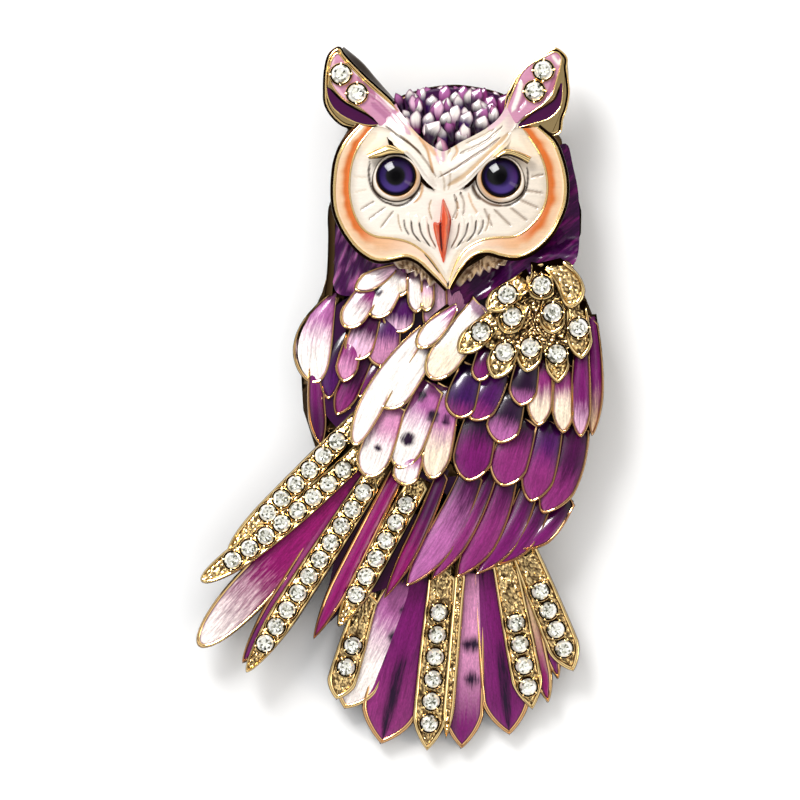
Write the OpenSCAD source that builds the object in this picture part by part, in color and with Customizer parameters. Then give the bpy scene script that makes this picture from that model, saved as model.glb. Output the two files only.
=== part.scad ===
// Owl brooch. A hollow-backed cast figure carries raised feather cells with gold rims.
// Enamel lies in the cells, foiled stones stand in the ears, shoulder, wing and tail,
// and a plain pin crosses the open back.
// It lies on its back: X runs across, Y from tail to ears, and Z rises out of the face.

/* [Overall] */
// Height of the owl from tail tip to ear tip
brooch_h = 60; // [52:1:72]
// Width of the owl from wing tip to shoulder
brooch_w = 35; // [31:1:42]

/* [Relief] */
// Height of the hollow body's open rim above the surface that the brooch lies on
back_z = 2.3; // [2:0.1:2.8]
// Height of the torso's dome, which carries the feathers
torso_z = 5.3; // [5:0.1:5.6]
// Fall of the torso's dome from its middle to its sides
torso_drop = 1.9; // [1.6:0.1:2.3]
// Height of the head's dome
head_z = 5.6; // [5.3:0.1:5.8]
// Fall of the head's dome from its middle to its sides
head_drop = 2.4; // [2:0.1:2.8]
// Wall of the hollow body
wall = 1.2; // [0.9:0.1:1.5]
// Step from one row of feathers to the next
layer_h = 0.48; // [0.4:0.02:0.56]
// Height of the lowest feathers, at the sides of the breast
feather_z = 4.3; // [4.2:0.1:4.6]
// Height of the spread wing's stone feathers
spread_z = 4.4; // [4:0.1:4.8]
// Angle at which the tail falls to the surface
tail_angle = 7.5; // [6:0.5:9]
// Thickness of the spread wing feathers and the tail feathers
plate_t = 1.5; // [1.2:0.1:2]
// Height of the face plate above the head's dome
face_h = 1.7; // [1.5:0.1:2]
// Height of the brow above the face plate
brow_h = 0.7; // [0.5:0.1:1.1]
// Thickness of an ear
ear_t = 2.2; // [1.8:0.1:3]

/* [Enamel cells] */
// Width of the metal rim round a cell
rim_w = 0.22; // [0.16:0.02:0.32]
// Depth of a cell below its rim
cell_d = 0.4; // [0.3:0.05:0.5]
// Level of the enamel below its rim
enamel_drop = 0.06; // [0:0.02:0.12]
// Gap between an enamel or a stone and the metal that holds it
fit_gap = 0.04; // [0.02:0.01:0.08]

/* [Stones and eyes] */
// Diameter of the stones in the wing and tail rows
stone_d = 1.5; // [1.3:0.05:1.6]
// Diameter of the single stones in the ears and shoulder
accent_d = 1.65; // [1.4:0.05:1.8]
// Height of a stone as a share of its diameter
stone_share = 0.6; // [0.5:0.02:0.7]
// Depth of the seats that are drilled for the stones
seat_d = 0.45; // [0.35:0.05:0.6]
// Wall of the collar round a single stone
collar_w = 0.16; // [0.12:0.02:0.24]
// Height of that collar above the metal
collar_h = 0.14; // [0.06:0.02:0.24]
// Width of the bar between the two collars of an ear
bar_w = 0.7; // [0.5:0.1:1]
// Diameter of the eyes
eye_d = 3.3; // [2.8:0.1:3.6]
// Width of the lid that rings an eye
lid_w = 0.45; // [0.3:0.05:0.6]

/* [Pin] */
// Distance between the pin's two posts
pin_span = 16; // [14:1:17]
// Diameter of the pin's stem
stem_d = 0.9; // [0.7:0.1:1.1]
// Diameter of a post
post_d = 1.6; // [1.3:0.1:2]
// Diameter of the foot that is soldered to the back
foot_d = 3; // [2.6:0.1:3.6]
// Thickness of that foot
foot_t = 0.5; // [0.4:0.1:0.8]

/* [Hidden] */

// The tables place everything on a drawing grid that has its zero at the middle of the brooch.
grid_rows = 700;
grid_columns = 408;
step_x = brooch_w / grid_columns;
step_y = brooch_h / grid_rows;
step = (step_x + step_y) / 2;
function at(x, y) = [x * step_x, y * step_y];

// Domes of the torso and the head: their middle on the grid, half width, fall and top
torso = [52, -10, 150, torso_drop, torso_z];
head = [52, 205, 118, head_drop, head_z];
function dome_radius(d) = let (half = d[2] * step_x) (half * half + d[3] * d[3]) / (2 * d[3]);

// Columns of every feather table: root, tip, width, bend, root share and tip sharpness
RX = 0;
RY = 1;
TX = 2;
TY = 3;
WIDTH = 4;
BEND = 5;
ROOT = 6;
NOSE = 7;

// Rows of feathers from the top down: each row covers the ones after it, and within a row
// each feather covers the next
shoulder = [
    [
        [141, 127, 141, 99, 27, 0, 0.7, 0.5],
        [123, 117, 86, 90, 25, 0, 0.7, 0.6],
        [156, 133, 174, 92, 27, 5, 0.7, 0.5]],
    [
        [119, 99, 104, 66, 28, 0, 0.7, 0.6],
        [153, 103, 151, 65, 27, 0, 0.7, 0.6],
        [176, 92, 181, 40, 26, 0, 0.7, 0.85]],
    [
        [133, 72, 126, 27, 27, 0, 0.7, 0.65],
        [113, 68, 93, 21, 29, 0, 0.7, 0.65],
        [155, 66, 158, 16, 25, 0, 0.7, 0.85],
        [99, 85, 58, 47, 26, 0, 0.7, 0.6]]];
coverts = [
    [
        [52, 92, 17, 52, 22, 0, 0.6, 0.5],
        [78, 88, 29, 21, 33, 0, 0.6, 0.5],
        [86, 52, 78, 18, 20, 0, 0.6, 0.55],
        [128, 40, 120, -7, 29, 0, 0.6, 0.65],
        [142, 34, 138, -27, 26, 0, 0.6, 0.65],
        [163, 30, 163, -34, 23, 0, 0.6, 0.65],
        [181, 44, 180, -38, 21, 0, 0.6, 0.65]],
    [
        [70, 28, 57, -19, 31, -1, 0.6, 0.55],
        [98, 26, 71, -21, 31, 1, 0.6, 0.6],
        [112, 4, 98, -44, 34, 0, 0.6, 0.65],
        [24, 54, -19, -8, 37, 0, 0.6, 0.5],
        [26, 72, -47, -46, 26, -7, 0.5, 0.5],
        [192, 86, 192, -36, 17, 3, 0.5, 0.65]],
    [
        [30, 10, -3, -69, 33, 0, 0.6, 0.5],
        [48, 6, 31, -80, 30, 0, 0.6, 0.55],
        [82, -14, 67, -82, 39, 0, 0.6, 0.6],
        [122, -24, 101, -87, 38, 0, 0.6, 0.6],
        [150, -28, 130, -103, 33, 1, 0.6, 0.65],
        [177, -28, 142, -114, 33, 6, 0.6, 0.65],
        [-8, -8, -34, -78, 33, 0, 0.6, 0.5],
        [14, -46, 2, -86, 28, 0, 0.6, 0.5]]];
primaries = [
    [
        [42, -76, -16, -199, 16, 3, 0.7, 0.8],
        [72, -74, 6, -187, 29, 6, 0.7, 0.8],
        [89, -78, 31, -181, 19, 5, 0.7, 0.8],
        [106, -80, 57, -178, 28, 6, 0.7, 0.8],
        [130, -88, 76, -175, 23, 7, 0.7, 0.8],
        [144, -98, 97, -166, 23, 6, 0.7, 0.8],
        [166, -104, 122, -150, 21, 4, 0.7, 0.8]]];
spread = [
    [
        [-46, -24, -172, -154, 25, 0, 0.8, 0.5],
        [-42, -56, -199, -182, 27, 5, 0.8, 0.45],
        [20, -80, -62, -227, 26, 0, 0.9, 0.6],
        [-26, -76, -154, -273, 29, 0, 0.8, 0.6],
        [-6, -76, -87, -240, 15, 0, 0.8, 0.8]],
    [
        [-54, -92, -158, -262, 22, 4, 0.3, 0.7],
        [-42, -76, -202, -247, 34, 0, 0.3, 0.6]]];
tail = [
    [
        [-36, -205, -64, -298, 28, 0, 0.8, 0.8],
        [42, -176, 27, -350, 34, 0, 0.8, 0.8],
        [60, -176, 46, -338, 12, 0, 0.9, 0.7],
        [104, -156, 133, -308, 29, 0, 0.8, 0.8],
        [122, -142, 174, -269, 31, 0, 0.8, 0.7]],
    [
        [6, -180, -56, -308, 37, 0, 0.8, 0.5],
        [26, -176, -20, -344, 41, -2, 0.35, 0.8],
        [70, -170, 61, -349, 39, 0, 0.5, 0.85],
        [90, -164, 110, -335, 37, 0, 0.4, 0.85],
        [118, -152, 148, -302, 17, 0, 0.9, 0.7],
        [128, -152, 158, -278, 14, 0, 0.9, 0.7]]];
breast = [
    [
        [-2, 134, -46, 110, 16, 0, 0.6, 0.6],
        [-2, 128, -29, 82, 27, 0, 0.6, 0.55],
        [-24, 118, -56, 72, 25, 0, 0.6, 0.55],
        [2, 126, 0, 102, 14, 0, 0.6, 0.6],
        [14, 124, 17, 86, 17, 0, 0.6, 0.6],
        [28, 120, 26, 87, 15, 0, 0.6, 0.6]],
    [
        [2, 108, -3, 66, 29, 0, 0.6, 0.55],
        [-30, 86, -46, 39, 27, 0, 0.6, 0.55],
        [-12, 84, -20, 32, 31, 0, 0.6, 0.55],
        [-46, 62, -57, 17, 21, 0, 0.6, 0.65],
        [36, 126, 34, 62, 24, 0, 0.7, 0.6],
        [60, 124, 52, 78, 26, 0, 0.7, 0.5]],
    [
        [-50, 72, -73, 0, 23, -6, 0.5, 0.65],
        [-64, 106, -88, 16, 35, -9, 0.5, 0.5],
        [-84, 34, -79, -46, 17, -2, 0.6, 0.7],
        [-34, 48, -64, -16, 22, 0, 0.6, 0.7],
        [-16, 44, -42, 2, 20, 0, 0.6, 0.7]]];
neck = [
    [
        [-46, 176, -48, 110, 38, -4, 0.7, 0.6],
        [168, 214, 158, 134, 22, 8, 0.7, 0.7],
        [150, 156, 72, 104, 40, -8, 0.7, 0.6]]];
crown = [
    [
        [42, 244, 42, 268, 17, 0, 0.7, 0.5],
        [25, 256, 27, 279, 17, 0, 0.7, 0.5],
        [59, 256, 58, 279, 17, 0, 0.7, 0.5],
        [8, 266, 11, 290, 16, 0, 0.7, 0.5],
        [77, 266, 76, 290, 16, 0, 0.7, 0.5],
        [93, 274, 93, 294, 15, 0, 0.7, 0.5]],
    [
        [42, 270, 43, 294, 17, 0, 0.7, 0.5],
        [26, 276, 26, 299, 17, 0, 0.7, 0.5],
        [59, 276, 61, 299, 17, 0, 0.7, 0.5],
        [76, 284, 78, 304, 16, 0, 0.7, 0.5],
        [9, 284, 9, 303, 15, 0, 0.7, 0.5]],
    [
        [34, 292, 34, 310, 17, 0, 0.9, 0.35],
        [52, 293, 52, 311, 17, 0, 0.9, 0.35],
        [70, 292, 71, 310, 16, 0, 0.9, 0.35],
        [17, 294, 18, 308, 15, 0, 0.9, 0.35],
        [91, 286, 90, 307, 16, 0, 0.9, 0.35]]];

// Levels of the rows above the lowest feathers, in layers
wing_rows = concat(shoulder, coverts, primaries);
wing_levels = [7.2, 6.4, 5.6, 4.6, 3.6, 2.6, 1.5];
breast_levels = [2.6, 1.6, 0.4];
neck_levels = [0.8];
crown_levels = [5.4, 4.6, 3.8];
function heights(levels) = [for (l = levels) feather_z + l * layer_h];
wing_heights = heights(wing_levels);
breast_heights = heights(breast_levels);
neck_heights = heights(neck_levels);
crown_heights = heights(crown_levels);
spread_heights = [spread_z, spread_z - layer_h];
tail_heights = [plate_t + layer_h, plate_t];

// Tail feathers of the upper row that hold stones
tail_stone_cells = [0, 1, 3, 4];
// First and last place of the stones along their cell, and how many they are
spread_rows = [[0.134, 0.684, 6], [0.1, 0.81, 8], [0.17, 0.78, 6], [0.084, 0.851, 10]];
tail_rows = [[0.4, 0.636, 2], [0.188, 0.835, 6], [0, 0, 0], [0.416, 0.843, 4], [0.356, 0.813, 4]];

function mix(a, b, t) = a + (b - a) * t;
function root_of(c) = at(c[RX], c[RY]);
function length_of(c) = norm(at(c[TX], c[TY]) - root_of(c));

// Outline of a cell: it swells to its widest place and closes in the tip
widest = 0.55;
outline_shares = [0, 0.28, 0.55, 0.74, 0.88, 0.96];
function half_width(c, s) = c[WIDTH] * step / 2 * (s < widest
    ? mix(c[ROOT], 1, sin(90 * s / widest))
    : pow(max(0, 1 - pow((s - widest) / (1 - widest), 2)), c[NOSE]));
function middle_line(c, s) = 4 * c[BEND] * step * s * (1 - s);
function side(c, s, inset) = half_width(c, s) * (1 - 2 * inset / (c[WIDTH] * step));
function outline(c, inset) =
    let (n = length_of(c), tip_inset = inset * 1.4, last = len(outline_shares) - 1)
    concat([for (s = outline_shares)
            [mix(inset, n - tip_inset, s), middle_line(c, s) - side(c, s, inset)]],
        [[n - tip_inset, 0]],
        [for (i = [last:-1:0]) let (s = outline_shares[i])
            [mix(inset, n - tip_inset, s), middle_line(c, s) + side(c, s, inset)]]);
module on_cell(c) {
    translate(root_of(c))
        rotate(atan2((c[TY] - c[RY]) * step_y, (c[TX] - c[RX]) * step_x))
            children();
}
module leaf(c, inset) {
    on_cell(c)
        polygon(outline(c, inset));
}

// A row seen from above, and the open part of its cells
module row_flat(row, inset) {
    for (c = row)
        leaf(c, inset);
}
module rows_flat(rows, inset) {
    for (r = rows)
        row_flat(r, inset);
}
module open_flat(row, inset, gap) {
    for (i = [0:len(row) - 1])
        difference() {
            leaf(row[i], inset);
            for (j = [0:1:i - 1])
                leaf(row[j], -gap);
        }
}

// Cells of one row
module cell_row(row, top) {
    translate([0, 0, top - cell_d])
        linear_extrude(2 * cell_d)
            open_flat(row, rim_w, 0);
}
module cell_rows(rows, tops, shut) {
    for (k = [shut:len(rows) - 1])
        cell_row(rows[k], tops[k]);
}

// Rows of feathers, from the lowest up: each is added whole, and then its cells are opened
module feathers(rows, tops, low, shut, k) {
    difference() {
        union() {
            if (k < len(rows) - 1)
                feathers(rows, tops, low, shut, k + 1);
            translate([0, 0, low])
                linear_extrude(tops[k] - low)
                    row_flat(rows[k], 0);
        }
        if (k >= shut)
            cell_row(rows[k], tops[k]);
    }
}

// Enamel in the rows from one to another, cut back from the rows that lie over it
module enamels(rows, tops, first, last) {
    for (k = [first:last])
        translate([0, 0, tops[k] - cell_d + fit_gap])
            linear_extrude(cell_d - fit_gap - enamel_drop)
                difference() {
                    open_flat(rows[k], rim_w + fit_gap, fit_gap);
                    for (j = [0:1:k - 1])
                        row_flat(rows[j], -fit_gap);
                    children();
                }
}

// Outline of the hollow body, as rows of y, left and right
body_sections = [
    [312, 26, 80], [304, -4, 108], [288, -42, 144], [262, -58, 162], [225, -64, 168],
    [186, -66, 170], [140, -69, 168], [108, -78, 184], [78, -92, 196], [40, -100, 201],
    [-10, -97, 197], [-50, -84, 184], [-100, -50, 164], [-150, -34, 124], [-186, -8, 58]];
function body_outline(inset) =
    let (rows = len(body_sections), grow = 1 - inset / (brooch_h / 2))
    concat([for (i = [0:rows - 1]) let (s = body_sections[i])
            at(s[1], s[0] * grow) + [inset, 0]],
        [for (i = [rows - 1:-1:0]) let (s = body_sections[i])
            at(s[2], s[0] * grow) - [inset, 0]]);

// The part of the body below one dome: it shrinks by the inset all round and on top
module dome_block(d, inset, low) {
    intersection() {
        translate([0, 0, low])
            linear_extrude(d[4])
                polygon(body_outline(inset));
        translate(concat(at(d[0], d[1]), d[4] - dome_radius(d)))
            sphere(r = dome_radius(d) - inset, $fn = 160);
    }
}
// The face: two rounds that meet in a pointed chin. Rounds are centre and radii on the grid.
face_z = head_z + face_h;
brow_z = face_z + brow_h;
ear_z = face_z - brow_h / 2;
face_rounds = [[-3, 208, 62, 69], [105, 208, 60, 67]];
disc_rounds = [[1, 214, 50, 54], [98, 214, 47, 53]];
chin = [[10, 146], [33, 132], [50, 112], [67, 132], [90, 146], [52, 230]];
chin_inner = [[4, 163], [30, 146], [50, 124], [72, 146], [98, 163], [52, 230]];
round_points = 32;
function ring(r, inset) = [for (k = [0:round_points - 1]) let (a = 360 * k / round_points)
    [r[0] * step_x + (r[2] * step_x - inset) * cos(a),
        r[1] * step_y + (r[3] * step_y - inset) * sin(a)]];
module on_grid(points) {
    polygon([for (p = points) at(p[0], p[1])]);
}

module face_flat(inset) {
    for (r = face_rounds)
        polygon(ring(r, inset));
    translate([0, inset])
        on_grid(chin);
}

// The hollow back: it follows both domes, and goes deeper behind the face
module hollow() {
    dome_block(torso, wall, back_z - 1);
    dome_block(head, wall, back_z - 1);
    translate([0, 0, back_z])
        linear_extrude(face_z - cell_d - wall - back_z)
            face_flat(2 * wall);
}

// The inner face, where the eyes and the beak stand
module inner_face_flat(inset) {
    for (r = disc_rounds)
        polygon(ring(r, inset));
    translate([0, 1.2 * inset])
        on_grid(chin_inner);
}

eye_places = [[-4, 224], [101, 222]];
module eye_flat(k, extra) {
    translate(at(eye_places[k][0], eye_places[k][1]))
        circle(d = eye_d + 2 * extra, $fn = 40);
}
module eyes_flat(extra) {
    eye_flat(0, extra);
    eye_flat(1, extra);
}

// The beak on the grid, seen from the front: top, shoulders and tip
beak_points = [[43, 202], [33, 178], [37, 158], [43, 137], [49, 158], [51, 178]];
beak_middle = [43, 174];
function grown(points, middle, extra) =
    [for (p = points) let (d = p - middle) p + d / norm(d) * extra / step];

// The brow: a bold V from ear to ear above the eyes
brow_lower = [[-52, 278], [-32, 271], [-13, 262], [0, 248], [14, 234], [24, 218], [34, 208],
    [46, 202], [62, 210], [78, 226], [92, 242], [105, 251], [116, 264], [130, 272], [152, 278]];
brow_upper = [[146, 290], [122, 288], [104, 284], [84, 268], [64, 254], [43, 243], [24, 254],
    [8, 268], [-8, 284], [-24, 289], [-46, 290]];
brow_middle = 50;
brow_half = 102;
function brow_side(points, inset, up) =
    [for (p = points) let (off = (p[0] - brow_middle) * (1 - inset / step / brow_half))
        [brow_middle + off, p[1] + up * inset / step]];
function brow_points(inset) =
    concat(brow_side(brow_lower, inset, 1), brow_side(brow_upper, inset, -1));
// All that lies under the brow or behind it
function behind_brow(extra) = concat([for (p = brow_lower) p - [0, extra / step]],
    [[160, 340], [-66, 340]]);

// An ear: its outline on the grid, with a pink cell and a shaded cell
ears = [
    [[-60, 350], [-71, 342], [-74, 302], [-66, 286], [-50, 268], [-8, 262], [4, 288], [-11, 306],
        [-32, 326], [-50, 347]],
    [[157, 350], [165, 343], [168, 308], [162, 284], [150, 270], [108, 262], [98, 288],
        [110, 310], [124, 328], [146, 346]]];
ear_pinks = [
    [[-58, 346], [-67, 340], [-69, 318], [-58, 304], [-34, 289], [-8, 290], [-18, 305],
        [-38, 325]],
    [[155, 345], [160, 336], [157, 318], [146, 304], [132, 293], [106, 290], [116, 313],
        [132, 332]]];
ear_shades = [
    [[-71, 308], [-60, 299], [-40, 286], [-44, 281], [-54, 279], [-66, 292]],
    [[162, 310], [154, 300], [138, 288], [140, 282], [150, 281], [160, 294]]];
function mean(values) = values * [for (v = values) 1] / len(values);
function middle_of(points) = [mean([for (p = points) p[0]]), mean([for (p = points) p[1]])];
function shrunk(points, inset) = grown(points, middle_of(points), -inset);
module ear_slab(points, low, high) {
    translate([0, 0, ear_z + low])
        linear_extrude(high - low)
            on_grid(points);
}

// Stones have eight sides: a small flat back, a girdle, a crown and a table
crown_share = 0.46;
table_share = 0.56;
back_share = 0.4;
module stone(d) {
    r = d / 2;
    h = d * stone_share;
    levels = [[r * back_share, 0], [r, h * (0.94 - crown_share)], [r, h * (1 - crown_share)],
        [r * table_share, h]];
    last = len(levels) - 1;
    polyhedron([for (l = levels, k = [0:7]) [l[0] * cos(45 * k), l[0] * sin(45 * k), l[1]]],
        concat([[for (k = [0:7]) k]],
            [for (l = [0:last - 1], k = [0:7]) let (n = (k + 1) % 8, m = 8 * l)
                [m + k, m + 8 + k, m + 8 + n, m + n]],
            [[for (k = [7:-1:0]) 8 * last + k]]));
}

module along(c, row) {
    on_cell(c)
        for (k = [0:1:row[2] - 1])
            let (s = mix(row[0], row[1], k / max(1, row[2] - 1)))
                translate([s * length_of(c), middle_line(c, s)])
                    children();
}
module seat(d) {
    translate([0, 0, -seat_d])
        cylinder(d = d + 2 * fit_gap, h = seat_d + 3 * layer_h, $fn = 32);
}
module seated(d) {
    translate([0, 0, fit_gap - seat_d])
        stone(d);
}

// Places of the single stones: on their shoulder row and feather, at a share of its length
shoulder_places = [[0, 0, 0.46], [0, 1, 0.44], [1, 0, 0.48], [1, 1, 0.42], [1, 2, 0.385],
    [2, 0, 0.44], [2, 1, 0.43], [2, 2, 0.4], [2, 3, 0.45]];
ear_stones = [[-59, 325], [-43, 306], [143, 329], [134, 308]];
module shoulder_place(k) {
    p = shoulder_places[k];
    translate([0, 0, wing_heights[p[0]]])
        along(shoulder[p[0]][p[1]], [p[2], p[2], 1])
            children();
}
module ear_place(k) {
    translate(concat(at(ear_stones[k][0], ear_stones[k][1]), ear_z))
        children();
}
// The bar of metal that joins the two collars of an ear
module ear_bar(pair, extra, low, high) {
    ends = [for (k = pair) at(ear_stones[k][0], ear_stones[k][1])];
    span = ends[1] - ends[0];
    translate(concat(ends[0], ear_z + low))
        rotate(atan2(span[1], span[0]))
            translate([0, -bar_w / 2 - extra])
                cube([norm(span), bar_w + 2 * extra, high - low]);
}
ear_pairs = [[0, 1], [2, 3]];
module collar() {
    translate([0, 0, -seat_d])
        cylinder(d = accent_d + 2 * (fit_gap + collar_w), h = seat_d + collar_h, $fn = 32);
}

// Pads inside the hollow, level with its open rim, which the pin's feet are soldered to
pin_row = 92;
pin_column = 51;
pad_z = back_z;
function pin_at(side) = at(pin_column, pin_row) + [side * pin_span / 2, 0];
module pads() {
    for (side = [-1, 1])
        translate(concat(pin_at(side), pad_z))
            cylinder(d = foot_d * 1.2, h = torso_z - pad_z, $fn = 32);
}

module head_block() {
    translate([0, 0, back_z + wall])
        linear_extrude(face_z - back_z - wall)
            face_flat(0);
    translate([0, 0, back_z + wall])
        linear_extrude(brow_z - back_z - wall)
            on_grid(brow_points(0));
    for (e = ears)
        ear_slab(e, -ear_t, 0);
}

// What is cut out of the head: its cells, and the room for the eyes under the brow
module head_cells() {
    translate([0, 0, face_z - cell_d])
        linear_extrude(cell_d)
            difference() {
                face_cells_flat(rim_w);
                on_grid(behind_brow(0));
            }
    translate([0, 0, brow_z - cell_d])
        linear_extrude(2 * cell_d)
            difference() {
                on_grid(brow_points(rim_w));
                eyes_flat(fit_gap + rim_w);
            }
    translate([0, 0, face_z - cell_d])
        linear_extrude(brow_z - face_z + 2 * cell_d)
            eyes_flat(fit_gap);
    for (e = concat(ear_pinks, ear_shades))
        difference() {
            ear_slab(e, -cell_d, cell_d / 2);
            translate([0, 0, ear_z - 2 * cell_d])
                linear_extrude(4 * cell_d)
                    on_grid(brow_points(0));
        }
}

module head_metal() {
    difference() {
        union() {
            difference() {
                head_block();
                head_cells();
            }
            for (k = [0:3])
                ear_place(k)
                    collar();
            for (pair = ear_pairs)
                ear_bar(pair, 0, -cell_d, 0);
        }
        hollow();
        for (k = [0:3])
            ear_place(k)
                seat(accent_d);
    }
}

// The open parts of the face: its two coloured bands and the field inside them
band_columns = [-24, 118];
band_row = 100;
module band_flat(side, rim) {
    intersection() {
        difference() {
            face_flat(rim);
            inner_face_flat(rim_w - rim);
        }
        edge = at(band_columns[side], band_row) + [side == 0 ? rim_w - rim : rim - rim_w, 0];
        translate(side == 0 ? edge - [brooch_w, 0] : edge)
            square([brooch_w, brooch_h / 2]);
    }
}
module face_cells_flat(rim) {
    inner_face_flat(rim);
    band_flat(0, rim);
    band_flat(1, rim);
}

// Eyelids that stand on the face round the eyes
module lids() {
    translate([0, 0, face_z - cell_d - 0.2])
        linear_extrude(cell_d + 0.2 + lid_w / 2)
            difference() {
                eyes_flat(lid_w);
                eyes_flat(fit_gap);
            }
}

// The tail group is drawn flat on the surface and then lifted at its root. It turns about the
// row of its lowest tip, which stays on the surface.
tail_tip_row = -353;
module tail_tilted() {
    hinge = [0, tail_tip_row * step_y, 0];
    translate(hinge)
        rotate([tail_angle, 0, 0])
            translate(-hinge)
                children();
}
module tail_metal() {
    difference() {
        tail_tilted()
            difference() {
                feathers(tail, tail_heights, 0, 1, 0);
                for (i = tail_stone_cells)
                    translate([0, 0, tail_heights[0]])
                        along(tail[0][i], tail_rows[i])
                            seat(stone_d);
            }
        hollow();
    }
}
module spread_metal() {
    difference() {
        feathers(spread, spread_heights, spread_z - plate_t, 1, 0);
        hollow();
    }
}
module wing_seats() {
    for (i = [0:3])
        translate([0, 0, spread_z])
            along(spread[0][i], spread_rows[i])
                seat(stone_d);
}

// The two domes leave room for every cell that lies lower than their tops
module domes() {
    difference() {
        union() {
            dome_block(torso, 0, back_z);
            dome_block(head, 0, back_z);
        }
        cell_rows(breast, breast_heights, 0);
        cell_rows(neck, neck_heights, 0);
        cell_rows(wing_rows, wing_heights, 3);
        cell_rows(crown, crown_heights, 0);
        cell_rows(spread, spread_heights, 1);
    }
}
module body_metal() {
    difference() {
        union() {
            domes();
            feathers(breast, breast_heights, back_z + wall, 0, 0);
            feathers(neck, neck_heights, back_z + wall, 0, 0);
            feathers(wing_rows, wing_heights, back_z + wall, 3, 0);
            feathers(crown, crown_heights, back_z + wall, 0, 0);
        }
        hollow();
    }
}

module casting() color("goldenrod") {
    tail_metal();
    difference() {
        union() {
            spread_metal();
            body_metal();
            for (k = [0:8])
                shoulder_place(k)
                    collar();
        }
        wing_seats();
        for (k = [0:8])
            shoulder_place(k)
                seat(accent_d);
    }
    head_metal();
    lids();
    intersection() {
        pads();
        union() {
            dome_block(torso, wall / 2, back_z);
            dome_block(head, wall / 2, back_z);
        }
    }
}

// One plain piece: two feet and posts, and the stem between them
module pin_back() color("darkgoldenrod") {
    for (side = [-1, 1])
        translate(concat(pin_at(side), 0)) {
            translate([0, 0, stem_d / 2])
                cylinder(d = post_d, h = pad_z - fit_gap - stem_d / 2, $fn = 32);
            translate([0, 0, pad_z - fit_gap - foot_t])
                cylinder(d = foot_d, h = foot_t, $fn = 32);
            translate([0, 0, stem_d / 2])
                sphere(d = stem_d, $fn = 32);
        }
    translate(concat(pin_at(-1), stem_d / 2))
        rotate([0, 90, 0])
            cylinder(d = stem_d, h = pin_span, $fn = 32);
}

// Enamels of the head. What stands on the face is left out of it with a gap all round.
module face_enamel() color("ivory") {
    translate([0, 0, face_z - cell_d + fit_gap])
        linear_extrude(cell_d - fit_gap - enamel_drop)
            difference() {
                inner_face_flat(rim_w + fit_gap);
                on_grid(behind_brow(fit_gap));
                eyes_flat(lid_w + fit_gap);
                on_grid(grown(beak_points, beak_middle, fit_gap));
            }
}
module face_band(side) {
    translate([0, 0, face_z - cell_d + fit_gap])
        linear_extrude(cell_d - fit_gap - enamel_drop)
            difference() {
                band_flat(side, rim_w + fit_gap);
                on_grid(behind_brow(fit_gap));
            }
}
module face_band_left() color("peachpuff") face_band(0);
module face_band_right() color("peachpuff") face_band(1);

module brow_enamel() color("seashell") {
    translate([0, 0, brow_z - cell_d + fit_gap])
        linear_extrude(cell_d - fit_gap - enamel_drop)
            difference() {
                on_grid(brow_points(rim_w + fit_gap));
                eyes_flat(rim_w + 2 * fit_gap);
            }
}
module ear_enamel(points) {
    difference() {
        ear_slab(shrunk(points, fit_gap), fit_gap - cell_d, -enamel_drop);
        translate([0, 0, ear_z - 2 * cell_d])
            linear_extrude(4 * cell_d)
                on_grid(brow_points(-fit_gap));
        for (k = [0:3])
            ear_place(k)
                seat(accent_d + 2 * (collar_w + fit_gap));
        for (pair = ear_pairs)
            ear_bar(pair, fit_gap, -2 * cell_d, cell_d);
    }
}
module ear_enamel_left() color("hotpink") ear_enamel(ear_pinks[0]);
module ear_enamel_right() color("hotpink") ear_enamel(ear_pinks[1]);
module ear_shade_left() color("indigo") ear_enamel(ear_shades[0]);
module ear_shade_right() color("indigo") ear_enamel(ear_shades[1]);

// What lies over the feathers from the head: the face, the brow and the ears
module head_flat(gap) {
    face_flat(-gap);
    on_grid(brow_points(-gap));
    for (e = ears)
        on_grid(shrunk(e, -gap));
}
module crown_enamel() color("plum") {
    enamels(crown, crown_heights, 0, len(crown) - 1)
        head_flat(fit_gap);
}
module neck_enamel() color("purple") {
    enamels(neck, neck_heights, 0, 0) {
        head_flat(fit_gap);
        rows_flat(breast, -fit_gap);
        rows_flat(wing_rows, -fit_gap);
        rows_flat(spread, -fit_gap);
    }
}
module breast_enamel() color("thistle") {
    enamels(breast, breast_heights, 0, len(breast) - 1) {
        head_flat(fit_gap);
        rows_flat(wing_rows, -fit_gap);
        rows_flat(spread, -fit_gap);
    }
}
module covert_enamel() color("mediumorchid") {
    enamels(wing_rows, wing_heights, 3, 5);
}
module primary_enamel() color("mediumvioletred") {
    enamels(wing_rows, wing_heights, 6, 6);
}
module wing_enamel() color("darkorchid") {
    enamels(spread, spread_heights, 1, 1) {
        rows_flat(wing_rows, -fit_gap);
        rows_flat(breast, -fit_gap);
    }
}
module tail_enamel() color("darkmagenta") {
    tail_tilted()
        enamels(tail, tail_heights, 1, 1) {
            rows_flat(wing_rows, -fit_gap);
            rows_flat(spread, -fit_gap);
        }
}

// An eye: a polished cabochon that stands on the face inside its lid
eye_rise = 0.34;
module eye(k) {
    r = eye_d / 2;
    h = eye_d * eye_rise;
    ball = (r * r + h * h) / (2 * h);
    translate(concat(at(eye_places[k][0], eye_places[k][1]), face_z - cell_d + fit_gap)) {
        cylinder(r = r, h = cell_d, $fn = 40);
        translate([0, 0, cell_d])
            intersection() {
                cylinder(r = r, h = h + 1, $fn = 40);
                translate([0, 0, h - ball])
                    sphere(r = ball, $fn = 80);
            }
    }
}
module eye_left() color("darkslateblue") eye(0);
module eye_right() color("darkslateblue") eye(1);

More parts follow.
